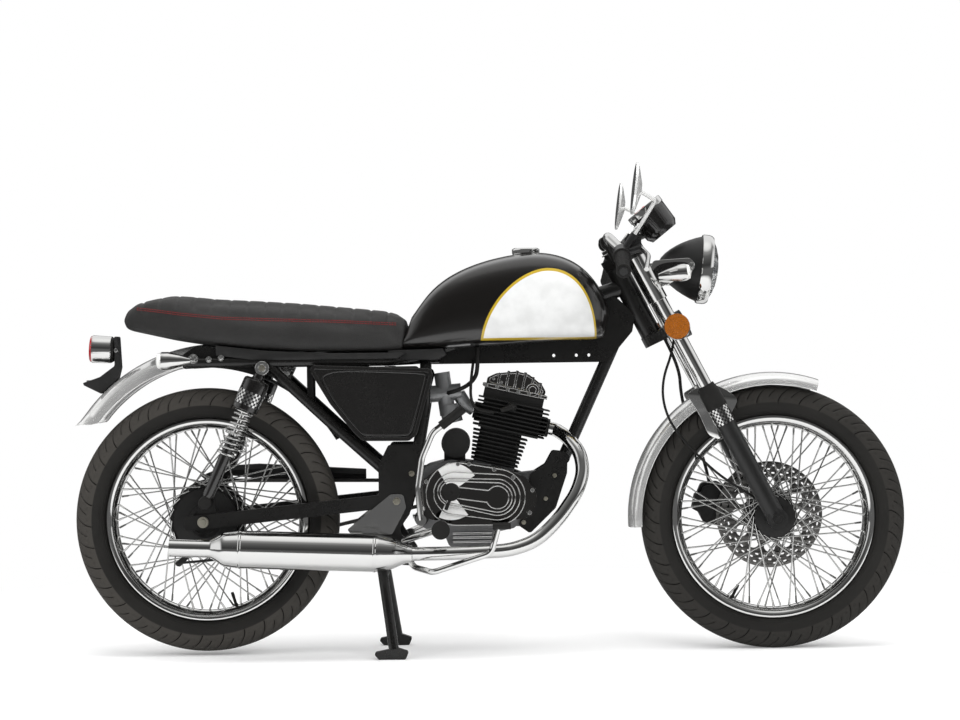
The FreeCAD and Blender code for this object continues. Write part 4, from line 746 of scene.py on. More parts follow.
for side, name in SIDES:
    foot, band, cap = [fork_point(FORK_OFFSET, side * LEG_SPREAD, up) for up in (0, 0.2545, 0.7262)]
    put_piece("fork_boot_" + name, turned(bellows, foot, FORK_UP, steps=56), rubber, "steering", angle=40)
    form = chequered_sleeve(band, FORK_UP, 0.0242, 0.0425, 30, 8)
    put_piece("fork_band_" + name, form, [satin_chrome, square_black], "steering", angle=50)
    form = rods(
        (cap - FORK_UP * 0.004, cap + FORK_UP * 0.005, 0.0152, 32),
        (cap + FORK_UP * 0.004, cap + FORK_UP * 0.012, 0.0105, 6))
    put_piece("fork_cap_" + name, form, chrome, "steering", edge=0.0008)
dressed("fork_yokes", enamel, 0.0018)
nut = fork_point(0, 0, 0.738)
form = rods(
    (nut - FORK_UP * 0.001, nut + FORK_UP * 0.002, 0.017, 32),
    (nut + FORK_UP * 0.001, nut + FORK_UP * 0.011, 0.0145, 6))
put_piece("stem_nut", form, chrome, "steering", edge=0.001)


# Handlebar, grips and levers
# A low chromed bar in two clamps. Rubber grips with rounded ribs, cast perches with bright
# levers, a small fluid reservoir on the right and a mirror screwed into each perch.

GRIP_INNER = Vector((0.312, 0.172, 0.949))
GRIP_OUTER = Vector((0.306, 0.352, 0.893))
GRIP_RIBS = 30


def is_lever(place):
    """Levers stand ahead of the bar; everything else by the bar is black."""
    flat = Vector((place.x, abs(place.y), place.z))
    run = GRIP_OUTER - GRIP_INNER
    share = (flat - GRIP_INNER).dot(run) / run.length_squared
    return share > 0.26 and (flat - GRIP_INNER.lerp(GRIP_OUTER, share)).length > 0.034


lever_alloy = polished("lever_alloy", (0.7, 0.7, 0.69), 0.18, 0.3)
control_black = cast_metal(
    "control_housings", (0.01, 0.01, 0.01), (0.02, 0.02, 0.02), 0.36, 0.5, 0.0, 0.00008, 900.0)
dressed("handlebar", chrome)
dressed("hand_controls", [control_black, lever_alloy], 0.001, choose=is_lever)
# The grip's section, with its places along the bar as shares of its length
section = [(0.0113, 0.345), (0.0205, 0.345), (0.0212, 0.352), (0.0205, 0.36)]
for rib in range(GRIP_RIBS):
    at = 0.365 + rib * 0.62 / GRIP_RIBS
    section += [(0.0159, at), (0.0167, at + 0.005), (0.0167, at + 0.0125), (0.0159, at + 0.0165)]
section += [(0.0168, 0.993), (0.0172, 1.004), (0.0168, 1.018), (0.0145, 1.024), (0.0113, 1.024)]
for side, name in SIDES:
    mirrored = Vector((1, side, 1))
    inner, outer = GRIP_INNER * mirrored, GRIP_OUTER * mirrored
    span = (outer - inner).length
    run = (outer - inner).normalized()
    form = turned([(radius, share * span) for radius, share in section], inner, run, steps=40)
    put_piece("grip_" + name, form, rubber, "steering", angle=35)
    end = inner + run * span * 1.022
    form = rods((end - run * 0.012, end + run * 0.004, 0.0112, 28, 0.0095))
    put_piece("bar_end_" + name, form, control_black, "steering", edge=0.001)


# Mirrors
# Round mirrors on bent chromed stems, each a spun shell with the glass set in its rim.

# The shells' chrome is half white diffuse: a painted sheen that keeps them pale
pale_chrome_painted_sheen = polished("pale_chrome_painted_sheen", (0.9, 0.9, 0.89), 0.12, 0.24, metallic=0.5)
mirror_glass = polished("mirror_glass", (0.92, 0.93, 0.94), 0.008, 0.03, 6.0)
dressed("mirrors", [pale_chrome_painted_sheen, control_black], choose=lambda place: place.z < 0.999 and abs(place.y) < 0.215)


def put_turned(name, section, centre, axis, material, body="steering", replaces=None, steps=96, **finish):
    """A piece turned from a section that starts and ends on its axis."""
    return put_piece(
        name, turned(section, centre, axis, steps, closed=False), material, body, replaces, **finish)


section = [(0.0, 0.0049), (0.0555, 0.0049), (0.0558, 0.0055), (0.054, 0.0058), (0.0, 0.0058)]
for side, name in SIDES:
    put_turned(
        "mirror_face_" + name, section, (0.338, side * 0.318, 1.080), (-0.993, 0, 0.118), mirror_glass,
        steps=72)


# Headlamp
# A matt black spun bowl between two chromed ears, closed by a chromed rim that clamps a
# domed, fluted glass over a bright reflector and its bulb.

LAMP_DROOP = math.radians(7)
LAMP_CENTRE = Vector((0.523, 0, 0.906))
LAMP_FACING = Vector((math.cos(LAMP_DROOP), 0, -math.sin(LAMP_DROOP)))
LAMP = (LAMP_CENTRE, LAMP_FACING)
EAR_BOLT = (0.482, 0.913)

matt_black = surfaced(
    "matt_black_paint", (0.008, 0.008, 0.008), (0.015, 0.015, 0.0145), 0.5, 12.0, 0.38, 0.5,
    Specular_IOR_Level=0.4)
bowl = [
    (0.0, -0.1138), (0.009, -0.1125), (0.018, -0.1085), (0.029, -0.1), (0.039, -0.0895), (0.049, -0.0765),
    (0.058, -0.0625), (0.066, -0.047), (0.073, -0.031), (0.0785, -0.0145),
    (0.0765, -0.0145), (0.071, -0.031), (0.064, -0.047), (0.056, -0.0625), (0.047, -0.0755), (0.038, -0.0865),
    (0.0275, -0.097), (0.017, -0.106), (0.0, -0.1115)]
put_turned("headlamp_bowl", bowl, *LAMP, matt_black, replaces="headlamp", angle=40)
ring = [
    (0.0775, -0.0155), (0.0815, -0.0155), (0.083, -0.012), (0.083, 0.001), (0.0815, 0.007), (0.078, 0.0115),
    (0.0735, 0.0125), (0.0725, 0.0105), (0.0765, 0.007), (0.0785, 0.000), (0.0785, -0.012), (0.0775, -0.013)]
put_piece("headlamp_rim", turned(ring, *LAMP, steps=120), chrome, "steering", angle=30)
reflector = [
    (0.0765, 0.001), (0.075, -0.003), (0.066, -0.019), (0.052, -0.035), (0.036, -0.046), (0.018, -0.052),
    (0.0, -0.054), (0.0, -0.056), (0.019, -0.054), (0.037, -0.048), (0.0535, -0.0365), (0.0675, -0.0205),
    (0.0765, -0.003)]
put_turned(
    "headlamp_reflector", reflector, *LAMP, polished("reflector", (0.9, 0.9, 0.9), 0.04, 0.09), steps=72,
    angle=50)
bulb = [
    (0.0, -0.018), (0.004, -0.019), (0.0075, -0.024), (0.0085, -0.031), (0.006, -0.041), (0.006, -0.0535),
    (0.0, -0.0535)]
bulb_glass = new_material("bulb_glass", Base_Color=(0.86, 0.9, 0.98, 1), Roughness=0.08, Coat_Weight=1.0)
put_turned("headlamp_bulb", bulb, *LAMP, bulb_glass, steps=28)

# Fluted glass: fine upright flutes crossed by a few low waves
lens_glass = new_material(
    "lens_glass", Base_Color=(0.97, 0.98, 0.98, 1), Transmission_Weight=1.0, IOR=1.45, Roughness=0.03)
tree = lens_glass.node_tree
x, y, z = measured_from(tree, tuple(LAMP_CENTRE))
flutes = calc(tree, "MULTIPLY", calc(tree, "SINE", calc(tree, "MULTIPLY", y, 1150.0)), 0.5)
waves = calc(tree, "MULTIPLY", calc(tree, "SINE", calc(tree, "MULTIPLY", z, 240.0)), 0.3)
bumped(lens_glass, calc(tree, "ADD", flutes, waves), 0.0012)
lens = [
    (0.0775, 0.0035), (0.0765, 0.0075), (0.070, 0.0125), (0.056, 0.020), (0.038, 0.0258), (0.019, 0.0287),
    (0.0, 0.0297), (0.0, 0.0267), (0.019, 0.0257), (0.038, 0.0228), (0.0555, 0.017), (0.069, 0.0095),
    (0.0755, 0.0035)]
put_turned("headlamp_lens", lens, *LAMP, lens_glass, angle=50)
form = bmesh.new()
for side, name in SIDES:
    inner, face, outer = [(EAR_BOLT[0], side * y, EAR_BOLT[1]) for y in (0.070, 0.0912, 0.0955)]
    add_rod(form, inner, outer, 0.005, 20)
    add_hexes(form, [face], (0, side, 0), 0.0105, 0.0075)
put_piece("headlamp_bolts", form, chrome, "steering", edge=0.0006)
dressed("lamp_ears", chrome, 0.0012)


def side_plates(name, loop, near, far, bevel, material, body):
    """A pair of flat plates, right and left, between two distances from the middle."""
    for side, word in SIDES:
        put_piece(name + word, pierced_plate([loop], *sorted((side * near, side * far)), bevel), material, body)


field = [(0.383, 0.881), (0.398, 0.9185), (0.466, 0.9235), (0.479, 0.913), (0.470, 0.904), (0.424, 0.877)]
side_plates("lamp_ear_field_", softened(field, 0.25, 3), 0.0904, 0.0910, 0.0001, enamel, "steering")


# Signal lamps, reflectors and horn
# Chromed bullet lamps with clear domed lenses, round amber reflectors in bright bezels low on
# the fork, and a black horn on a stay under the lower yoke.

def prisms(material, scale):
    """The distance of a point from the edges of the small prisms moulded in a lens."""
    tree = material.node_tree
    made = add_node(
        tree, "ShaderNodeTexVoronoi", {"feature": "DISTANCE_TO_EDGE"}, Vector=own_place(tree), Scale=scale)
    return made.outputs["Distance"]


def lens_material(name, color):
    """Moulded plastic lens: small prisms under a glossy skin, their edges painted darker as shade between the
    facets.
    """
    material = new_material(name, Roughness=0.22, Coat_Weight=1.0)
    edges = prisms(material, 330.0)
    share = eased(material.node_tree, edges, 0.0, 0.3)
    shade = mixed(material.node_tree, share, (*[c * 0.55 for c in color], 1), (*color, 1))
    feed(material, Base_Color=shade)
    bumped(material, edges, 0.0006)
    return material


clear_plastic = new_material("clear_lens", Base_Color=(0.8, 0.8, 0.78, 1), Roughness=0.12, Coat_Weight=1.0)
bumped(clear_plastic, prisms(clear_plastic, 420.0), 0.0012)
dressed("front_signals", [chrome, clear_plastic], choose=lambda place: place.x > 0.4645)
dressed("rear_signals", [chrome, clear_plastic], choose=lambda place: place.x < -0.7665)
amber = lens_material("amber_reflector", (0.38, 0.105, 0.001))
red = lens_material("red_lens", (0.42, 0.006, 0.01))
horn_black = cast_metal(
    "horn_black", (0.012, 0.012, 0.012), (0.022, 0.022, 0.022), 0.3, 0.45, 0.0, 0.00008, 900.0)
dressed("horn_and_reflectors", [horn_black, amber], 0.0008, choose=lambda place: abs(place.y) > 0.1)
bezel = [
    (0.0268, 0.0070), (0.0272, 0.0088), (0.0286, 0.0089), (0.0299, 0.0075), (0.0299, 0.0012), (0.0288, 0.0002),
    (0.0268, 0.0002)]
for side, name in SIDES:
    form = turned(bezel, fork_point(0.054, side * 0.1173, 0.508), (0, side, 0), steps=64)
    put_piece("reflector_bezel_" + name, form, chrome, "steering", angle=40)
grooves = [
    (0.0, -0.001), (0.0, 0.0004), (0.006, 0.0006), (0.007, 0.0), (0.012, -0.0006), (0.016, 0.0003),
    (0.020, -0.0006), (0.024, 0.0003), (0.028, -0.0006), (0.0325, -0.0002), (0.0335, -0.001)]
horn_face = fork_point(0.0862, 0, 0.507) - FORK_AHEAD * 0.0004
put_turned("horn_diaphragm", grooves, horn_face, FORK_AHEAD, satin_chrome, steps=56, angle=40)


# Instrument
# One round speedometer in a black can with a bright ring. Its white dial has plain numbers
# and ticks, and a red pointer.

DIAL_PLACE = Vector((0.377, 0, 1.055))
DIAL_FACING = Vector((-0.630, 0, 0.776)).normalized()
DIAL_START, DIAL_SWEEP = 225, 270

lacquer = surfaced(
    "black_lacquer", (0.005, 0.0046, 0.0043), (0.007, 0.0065, 0.006), 0.4, 5.0, 0.2, 0.28, Coat_Weight=1.0,
    Coat_Roughness=0.025)
dial_white = surfaced("dial_white", (0.72, 0.71, 0.68), (0.66, 0.65, 0.62), 0.3, 40.0, 0.4, 0.5)
print_black = surfaced("dial_print", (0.01, 0.01, 0.01), (0.02, 0.02, 0.02), 0.3, 60.0, 0.45, 0.55)
needle_red = surfaced("needle_red", (0.55, 0.015, 0.01), (0.45, 0.012, 0.01), 0.3, 60.0, 0.35, 0.45)
dressed("instrument", lacquer, 0.002)
ring = [
    (0.0435, -0.0015), (0.0435, 0.0008), (0.0448, 0.0026), (0.0466, 0.0020), (0.0474, 0.0), (0.0474, -0.0128),
    (0.0468, -0.0138), (0.0458, -0.0138), (0.0458, -0.0015)]
put_piece("instrument_ring", turned(ring, DIAL_PLACE, DIAL_FACING), chrome, "steering", angle=30)
plate = [(0.0, 0.0), (0.0, 0.0011), (0.0437, 0.0011), (0.0437, 0.0)]
put_turned("instrument_dial", plate, DIAL_PLACE + DIAL_FACING * 0.0012, DIAL_FACING, dial_white, steps=72)
dial_right = Vector((0, -1, 0))
dial_up = DIAL_FACING.cross(dial_right).normalized()
dial_frame = Matrix((dial_right, dial_up, DIAL_FACING)).transposed().to_4x4()
dial_frame.translation = DIAL_PLACE + DIAL_FACING * 0.00235


def on_dial(degrees, reach, lift=0.0):
    """A place on the dial, before it is put on the machine."""
    turn = math.radians(degrees)
    return Vector((math.cos(turn) * reach, math.sin(turn) * reach, lift))


marks = bmesh.new()
for step in range(33):
    swing = DIAL_START - step * DIAL_SWEEP / 32
    first, half = (0.0365, 0.0006) if step % 4 == 0 else (0.0388, 0.0003)
    start, end, across = on_dial(swing, first), on_dial(swing, 0.0413), on_dial(swing + 90, half)
    corners = (start - across, end - across, end + across, start + across)
    marks.faces.new([marks.verts.new(dial_frame @ corner) for corner in corners])
for number in range(9):
    words = bpy.data.curves.new("figure", "FONT")
    words.body = str(number * 20)
    words.size = 0.0086
    words.align_x = words.align_y = "CENTER"
    swing = DIAL_START - number * DIAL_SWEEP / 8
    meshed(words, place=dial_frame @ Matrix.Translation(on_dial(swing, 0.0305)), into=marks)
bmesh.ops.solidify(marks, geom=marks.faces[:], thickness=-0.00008)
bmesh.ops.recalc_face_normals(marks, faces=marks.faces)
put_piece("instrument_marks", marks, print_black, "steering", angle=10)
tail, tip = on_dial(DIAL_START, -0.007, 0.00014), on_dial(DIAL_START, 0.035, 0.0007)
form = rods(
    (dial_frame @ tail, dial_frame @ tip, 0.0009, 6, 0.0003),
    (dial_frame @ Vector((0, 0, 0)), dial_frame @ Vector((0, 0, 0.0016)), 0.0036, 24, 0.003))
put_piece("instrument_pointer", form, needle_red, "steering")


# Fenders
# Rolled and chromed steel. The front one is braced by plates bolted between the fork legs,
# the rear one hangs from the frame's tail, and a black plastic guard fills the space ahead.

SHEET_THICKNESS = 1.6


def fender_form(profile, centre, first, sweep, depth_left=None):
    """A rolled sheet swept round an axle from a half section of (inward, sideways) in millimetres."""
    outer = [(-drop, -y) for drop, y in profile] + [(-drop, y) for drop, y in reversed(profile[:-1])]
    inner = [
        (drop - SHEET_THICKNESS * side, y + SHEET_THICKNESS * down)
        for (drop, y), (down, side) in zip(outer, directions(outer))]
    middle_x, middle_z, top = [value / 1000 for value in centre]
    start = math.radians(first)
    form = bmesh.new()
    ring = []
    for drop, y in outer + inner[::-1]:
        reach = top + drop / 1000
        ring.append(form.verts.new((reach * math.cos(start), y / 1000, reach * math.sin(start))))
    lines = [form.edges.new((ring[number - 1], ring[number])) for number in range(len(ring))]
    bmesh.ops.spin(
        form, geom=ring + lines, cent=(0, 0, 0), axis=(0, -1, 0), angle=math.radians(sweep), steps=96)
    bmesh.ops.holes_fill(form, edges=[edge for edge in form.edges if edge.is_boundary])
    for point in form.verts:
        turn = math.atan2(point.co.z, point.co.x)
        reach = math.hypot(point.co.x, point.co.z)
        if depth_left:
            reach = top - (top - reach) * depth_left(turn)
        point.co = (reach * math.cos(turn) + middle_x, point.co.y, reach * math.sin(turn) + middle_z)
    bmesh.ops.recalc_face_normals(form, faces=form.faces)
    return form


REAR_SWEEP = (-643.6, 347, 397)
REAR_WALL = 44


def rear_depth(turn):
    """The share of the rear fender's side wall that is left above its swept-up tip."""
    trim = [(-1100, 555), (-948, 555), (-905, 562), (-868, 592), (-830, 640), (-790, 640), (-780, 0), (0, 0)]
    for inward in range(REAR_WALL, 1, -1):
        reach = REAR_SWEEP[2] - inward
        x, z = REAR_SWEEP[0] + reach * math.cos(turn), REAR_SWEEP[1] + reach * math.sin(turn)
        for (near_x, near_z), (far_x, far_z) in zip(trim, trim[1:]):
            if near_x <= x <= far_x and z >= near_z + (far_z - near_z) * (x - near_x) / (far_x - near_x):
                return inward / REAR_WALL
    return 2 / REAR_WALL


front_profile = [
    (29, 56), (30.2, 57), (29, 57.8), (27, 57.2), (24, 56.8), (20, 56), (15, 53.5), (10.5, 49), (6.5, 42.5),
    (3.5, 34), (1.5, 24), (0.3, 12), (0, 0)]
rear_profile = [
    (44, 65), (45.2, 66), (44, 66.8), (42, 66.2), (38, 65.9), (32, 65), (26, 63), (20, 59.5), (14.5, 54),
    (9.5, 46.5), (5.5, 37), (2.5, 26), (0.7, 13), (0, 0)]
# The fenders' chrome is partly white diffuse: a painted sheen that keeps them bright
chrome_painted_sheen = polished("chrome_painted_sheen", (0.9, 0.9, 0.89), 0.14, 0.26, metallic=0.76)
form = fender_form(front_profile, (675, 314, 345), 71, 112.5)
put_piece("front_fender_sheet", form, chrome_painted_sheen, "steering", "front_fender", angle=40)
stays = [
    (0.500, 0.560), (0.470, 0.608), (0.492, 0.622), (0.524, 0.634), (0.556, 0.622), (0.592, 0.596),
    (0.566, 0.548), (0.548, 0.500), (0.520, 0.512)]
side_plates("front_fender_stay_", softened(stays, 0.15), 0.055, 0.059, 0.0008, chrome, "steering")
form = fender_form(rear_profile, REAR_SWEEP, 62, 86.7, rear_depth)
put_piece("rear_fender_sheet", form, chrome_painted_sheen, "chassis", "rear_fender", angle=40)
moulded_black = surfaced(
    "moulded_plastic", (0.012, 0.012, 0.012), (0.024, 0.0235, 0.023), 0.5, 20.0, 0.42, 0.58)
dressed("inner_mudguard", moulded_black, 0.0008)


# Frame and swingarm
# Welded round tube in black enamel, with bolted engine plates and gussets below the tank. The
# swingarm is pressed box section and carries the rear axle in slotted ends.

for node in ("frame_front", "frame_rear", "swingarm"):
    dressed(node, enamel, 0.0008)
dressed("rear_axle", zinc, 0.0008)
form = bmesh.new()
for side, name in SIDES:
    for x, y, z, size, length in (
            (-0.220, 0.1303, 0.368, 0.012, 0.009), (-0.262, 0.1212, 0.238, 0.009, 0.007),
            (0.154, 0.043, 0.420, 0.0075, 0.006), (0.132, 0.043, 0.365, 0.0075, 0.006),
            (0.079, 0.043, 0.309, 0.0075, 0.006), (-0.184, 0.1188, 0.432, 0.0095, 0.007),
            (-0.530, 0.1445, 0.684, 0.0105, 0.008)):
        add_hexes(form, [(x, side * y, z)], (0, side, 0), size, length)
put_piece("frame_bolts", form, zinc, "chassis", edge=0.0004)
form = bmesh.new()
for side, name in SIDES:
    for x, z, washer, head in (
            (-0.694, 0.708, 0.0125, 0.0085), (-0.658, 0.706, 0.0078, 0.005), (-0.629, 0.709, 0.0078, 0.005)):
        add_rod(form, (x, side * 0.0835, z), (x, side * 0.1102, z), washer, 32, washer * 0.9)
        add_rod(form, (x, side * 0.1095, z), (x, side * 0.1145, z), head, 24, head * 0.6)
put_piece("tail_plate_bolts", form, chrome, "chassis", edge=0.0005)


# Chain drive
# A roller chain on a drilled steel rear sprocket, under a pressed black guard.

dressed("chain", dark_steel, 0.0004)
dressed("rear_sprocket", dark_steel, 0.0005)
dressed("chain_guard", moulded_black, 0.0008)


# Shock absorbers
# Chromed springs round black dampers. The gloss black upper can wears a chequered band, and
# both ends turn on rubber-bushed eyes.

SHOCK_TOP = Vector((-0.530, 0.130, 0.684))
SHOCK_LOW = Vector((-0.668, 0.130, 0.370))
SHOCK_LENGTH = (SHOCK_TOP - SHOCK_LOW).length
COIL_RADIUS = 0.0208
COIL_TURNS = 8
POINTS_PER_TURN = 14


def crossbar(place, first, last, radius, sides, end_radius=None):
    """A round bar that runs sideways through a place."""
    return place + Vector((0, first, 0)), place + Vector((0, last, 0)), radius, sides, end_radius


def of_length(*section):
    """A section whose places along the shock are given as shares of its length."""
    return [(radius, share * SHOCK_LENGTH) for radius, share in section]


def wire(name, radius, roundness, route, fineness=12):
    """A smooth round wire with capped ends that follows a route of control points."""
    line = bpy.data.curves.new(name, "CURVE")
    line.dimensions = "3D"
    line.bevel_depth = radius
    line.bevel_resolution = roundness
    line.use_fill_caps = True
    spline = line.splines.new("NURBS")
    spline.points.add(len(route) - 1)
    for point, place in zip(spline.points, route):
        point.co = (*place, 1)
    spline.order_u = 3
    spline.use_endpoint_u = True
    spline.resolution_u = fineness
    return line


damper = [(0.0, 0.012), (0.012, 0.014), (0.0138, 0.022)]
damper += of_length((0.0138, 0.352), (0.0125, 0.357), (0.0125, 0.50), (0.0, 0.50))
low_seat = of_length(
    (0.0120, 0.357), (0.0215, 0.358), (0.0232, 0.364), (0.0232, 0.372), (0.0205, 0.376), (0.0120, 0.378))
high_seat = of_length((0.0120, 0.674), (0.0240, 0.674), (0.0250, 0.679), (0.0240, 0.685), (0.0120, 0.687))
can = of_length(
    (0.0, 0.69), (0.0292, 0.69), (0.0308, 0.695), (0.0308, 0.889), (0.0295, 0.905), (0.0255, 0.913),
    (0.0160, 0.916),
    (0.0135, 0.922), (0.0125, 0.952), (0.0, 0.953))
coil = []
for step in range(COIL_TURNS * POINTS_PER_TURN + 1):
    share = step / (COIL_TURNS * POINTS_PER_TURN)
    swing = share * COIL_TURNS * 2 * math.pi
    coil.append(
        (COIL_RADIUS * math.cos(swing), COIL_RADIUS * math.sin(swing), SHOCK_LENGTH * (0.383 + 0.284 * share)))
for side, name in SIDES:
    top, low = [Vector((end.x, side * end.y, end.z)) for end in (SHOCK_TOP, SHOCK_LOW)]
    axis = (top - low).normalized()
    form = rods(crossbar(low, -0.010, 0.010, 0.0138, 40), crossbar(top, -0.010, 0.010, 0.0148, 40))
    replaced = "shock_absorbers" if side < 0 else None
    put_piece("shock_eyes_" + name, form, cast_black, "chassis", replaced, edge=0.0012)
    form = rods(
        crossbar(low, -0.0105, side * 0.0135, 0.0098, 32),
        crossbar(low, side * 0.0095, side * 0.0150, 0.0165, 40, 0.0140),
        crossbar(top, -0.0115, 0.0115, 0.0125, 40))
    put_piece("shock_rubbers_" + name, form, rubber, "chassis", edge=0.0008)
    form = rods(
        crossbar(top, side * 0.0095, side * 0.0130, 0.0165, 40),
        crossbar(top, side * 0.0125, side * 0.0155, 0.0095, 32))
    put_piece("shock_washers_" + name, form, chrome, "chassis", edge=0.0008)
    put_turned("shock_damper_" + name, damper, low, axis, lacquer, "chassis", steps=48, edge=0.0006)
    form = turned(low_seat, low, axis, steps=56)
    upper = turned(high_seat, low, axis, steps=56)
    spare = bpy.data.meshes.new("spare")
    upper.to_mesh(spare)
    upper.free()
    form.from_mesh(spare)
    bpy.data.meshes.remove(spare)
    add_rod(form, low + axis * SHOCK_LENGTH * 0.49, low + axis * SHOCK_LENGTH * 0.69, 0.0062, 24)
    put_piece("shock_seats_" + name, form, chrome, "chassis")
    put_turned("shock_can_" + name, can, low, axis, lacquer, "chassis", steps=72, edge=0.0005)
    form = chequered_sleeve(low + axis * SHOCK_LENGTH * 0.727, axis, 0.0313, 0.0335, 36, 6, 0.0008)
    put_piece("shock_band_" + name, form, [satin_chrome, square_black], "chassis", angle=50)
    form = meshed(wire("spring", 0.0023, 3, coil), 0.000002, stood(low, axis))
    put_piece("shock_spring_" + name, form, chrome, "chassis", angle=60)


# Tank
# Deep gloss black steel tank with a pearl white panel on each flank, edged in a gold line, and
# a chromed filler cap.

tank_paint = new_material("tank_paint", Coat_Weight=1.0, Coat_Roughness=0.02, Roughness=0.3)
tree = tank_paint.node_tree
PANEL_CENTRE = (0.140, 0, 0.735)
PANEL_FOOT = 0.742
x, y, z = measured_from(tree, PANEL_CENTRE)
rise = calc(tree, "DIVIDE", calc(tree, "ABSOLUTE", z), 0.176)


def panel_edge(reach, power):
    """How far a point stands outside one half of the panel's round outline, as a share of its size."""
    across = calc(tree, "DIVIDE", calc(tree, "ABSOLUTE", x), reach)
    total = calc(tree, "ADD", calc(tree, "POWER", across, power), calc(tree, "POWER", rise, power))
    return calc(tree, "SUBTRACT", calc(tree, "POWER", total, 1 / power), 1.0)


rearward = calc(tree, "LESS_THAN", x, 0.0)
forward = calc(tree, "SUBTRACT", 1.0, rearward)
rear_edge = calc(tree, "MULTIPLY", panel_edge(0.158, 1.72), rearward)
front_edge = calc(tree, "MULTIPLY", panel_edge(0.116, 2.25), forward)
rounded = calc(tree, "MULTIPLY", calc(tree, "ADD", rear_edge, front_edge), 0.145)
outside = calc(tree, "MAXIMUM", rounded, calc(tree, "SUBTRACT", PANEL_FOOT - PANEL_CENTRE[2], z))
on_flank = calc(tree, "GREATER_THAN", calc(tree, "ABSOLUTE", y), 0.045)
panel = calc(tree, "MULTIPLY", eased(tree, outside, -0.0059, -0.0055, 1.0, 0.0), on_flank)
border = calc(tree, "MULTIPLY", eased(tree, outside, -0.0003, 0.0001, 1.0, 0.0), on_flank)
flake = eased(tree, noise(tree, 26.0, 3.0), 0.3, 0.7)
pearl = mixed(tree, flake, (0.6, 0.605, 0.6, 1), (0.68, 0.685, 0.68, 1))
edged = mixed(tree, border, (0.0045, 0.0038, 0.0034, 1), (0.42, 0.29, 0.016, 1))
feed(tank_paint, Base_Color=mixed(tree, panel, edged, pearl))
dressed("fuel_tank", tank_paint, angle=40)
dressed("tank_cap", chrome, 0.0012)


# Side covers and air box
# Gloss black moulded covers with a raised edge, clipped to the frame over the black air box.

def moulding(name, loops, radius, material, body):
    """Rounded beads that stand on a side face, each a closed loop of (x, z) at its own y."""
    line = bpy.data.curves.new(name, "CURVE")
    line.dimensions = "3D"
    line.bevel_depth = radius
    line.bevel_resolution = 2
    for y, loop in loops:
        spline = line.splines.new("POLY")
        spline.points.add(len(loop) - 1)
        spline.use_cyclic_u = True
        for point, (x, z) in zip(spline.points, loop):
            point.co = (x, y, z, 1)
    form = meshed(line, 0.00001)
    bmesh.ops.recalc_face_normals(form, faces=form.faces)
    return put_piece(name, form, material, body, angle=60)


bead = [
    (-0.404, 0.6785), (-0.151, 0.668), (-0.1465, 0.658), (-0.183, 0.531), (-0.196, 0.5215), (-0.293, 0.5225),
    (-0.309, 0.537), (-0.362, 0.603)]
tray = [(-0.236, 0.7005), (-0.120, 0.7005), (-0.101, 0.711), (-0.108, 0.7235), (-0.236, 0.7205)]
dressed("side_covers", lacquer, 0.002)
moulding(
    "side_cover_beads", [(side * 0.1245, softened(bead, 0.2, 3)) for side in (-1, 1)], 0.003, lacquer,
    "chassis")
put_piece("wiring_tray", pierced_plate([tray], -0.092, 0.092, 0.0015), moulded_black, "chassis")
dressed("airbox", moulded_black, 0.002)


# Engine
# Air-cooled single. Black finned barrel and head, a chromed ribbed rocker cover, grey cast
# crankcases, and stepped side covers whose edges are polished bright.

CAP, BULGE = (-0.0915, 0.389), (0.0165, 0.375)
COVER_FACE = 0.1480

case_grey = cast_metal("cast_cases", (0.42, 0.425, 0.43), (0.33, 0.335, 0.34), 0.34, 0.48, 0.85, 0.0003, 650.0)
# The crankcase takes a darker copy of the cases' cast alloy: painted shade
crank_grey_painted_shade = cast_metal(
    "crank_castings_painted_shade", (0.2, 0.202, 0.205), (0.3, 0.3, 0.305), 0.3, 0.42, 0.85, 0.0003, 650.0)
dressed("crankcase", [crank_grey_painted_shade, cast_black], 0.0012, choose=lambda place: place.z > 0.462 and place.x < -0.04)
dressed("cylinder_barrel", cast_black, 0.0005)
dressed("cylinder_head", cast_black, 0.0005)

# The cover's flat faces get a dark base colour, a painted dark reflection; two wedges round the cap are brushed
# in rays and made partly white diffuse, a painted sheen
cover_alloy = polished("cover_alloy", (0.8, 0.8, 0.79), 0.05, 0.12)
tree = cover_alloy.node_tree
x, y, z = measured_from(tree, (CAP[0], 0, CAP[1]))
swing = calc(tree, "ARCTAN2", z, x)


def in_band(value, low, high, blur=0.02):
    """A mask of the values between two limits."""
    return calc(
        tree, "MULTIPLY", eased(tree, value, low, low + blur), eased(tree, value, high - blur, high, 1.0, 0.0))


facing = add_node(tree, "ShaderNodeNewGeometry").outputs["Normal"]
facing = add_node(tree, "ShaderNodeSeparateXYZ", Vector=facing).outputs["Y"]
wedge = calc(tree, "MAXIMUM", in_band(swing, 0.58, 2.12), in_band(swing, -2.04, -0.94))
for mask in (
        eased(tree, reach_of(tree, x, z), 0.0665, 0.0675, 1.0, 0.0), eased(tree, x, -0.0345, -0.034),
        calc(tree, "LESS_THAN", facing, -0.9)):
    wedge = calc(tree, "MULTIPLY", wedge, mask)
# Faces square to the side get a dark base colour: a painted dark reflection of the studio
flat = calc(tree, "GREATER_THAN", calc(tree, "ABSOLUTE", facing), 0.985)
flat = calc(tree, "MULTIPLY", flat, calc(tree, "SUBTRACT", 1.0, wedge))
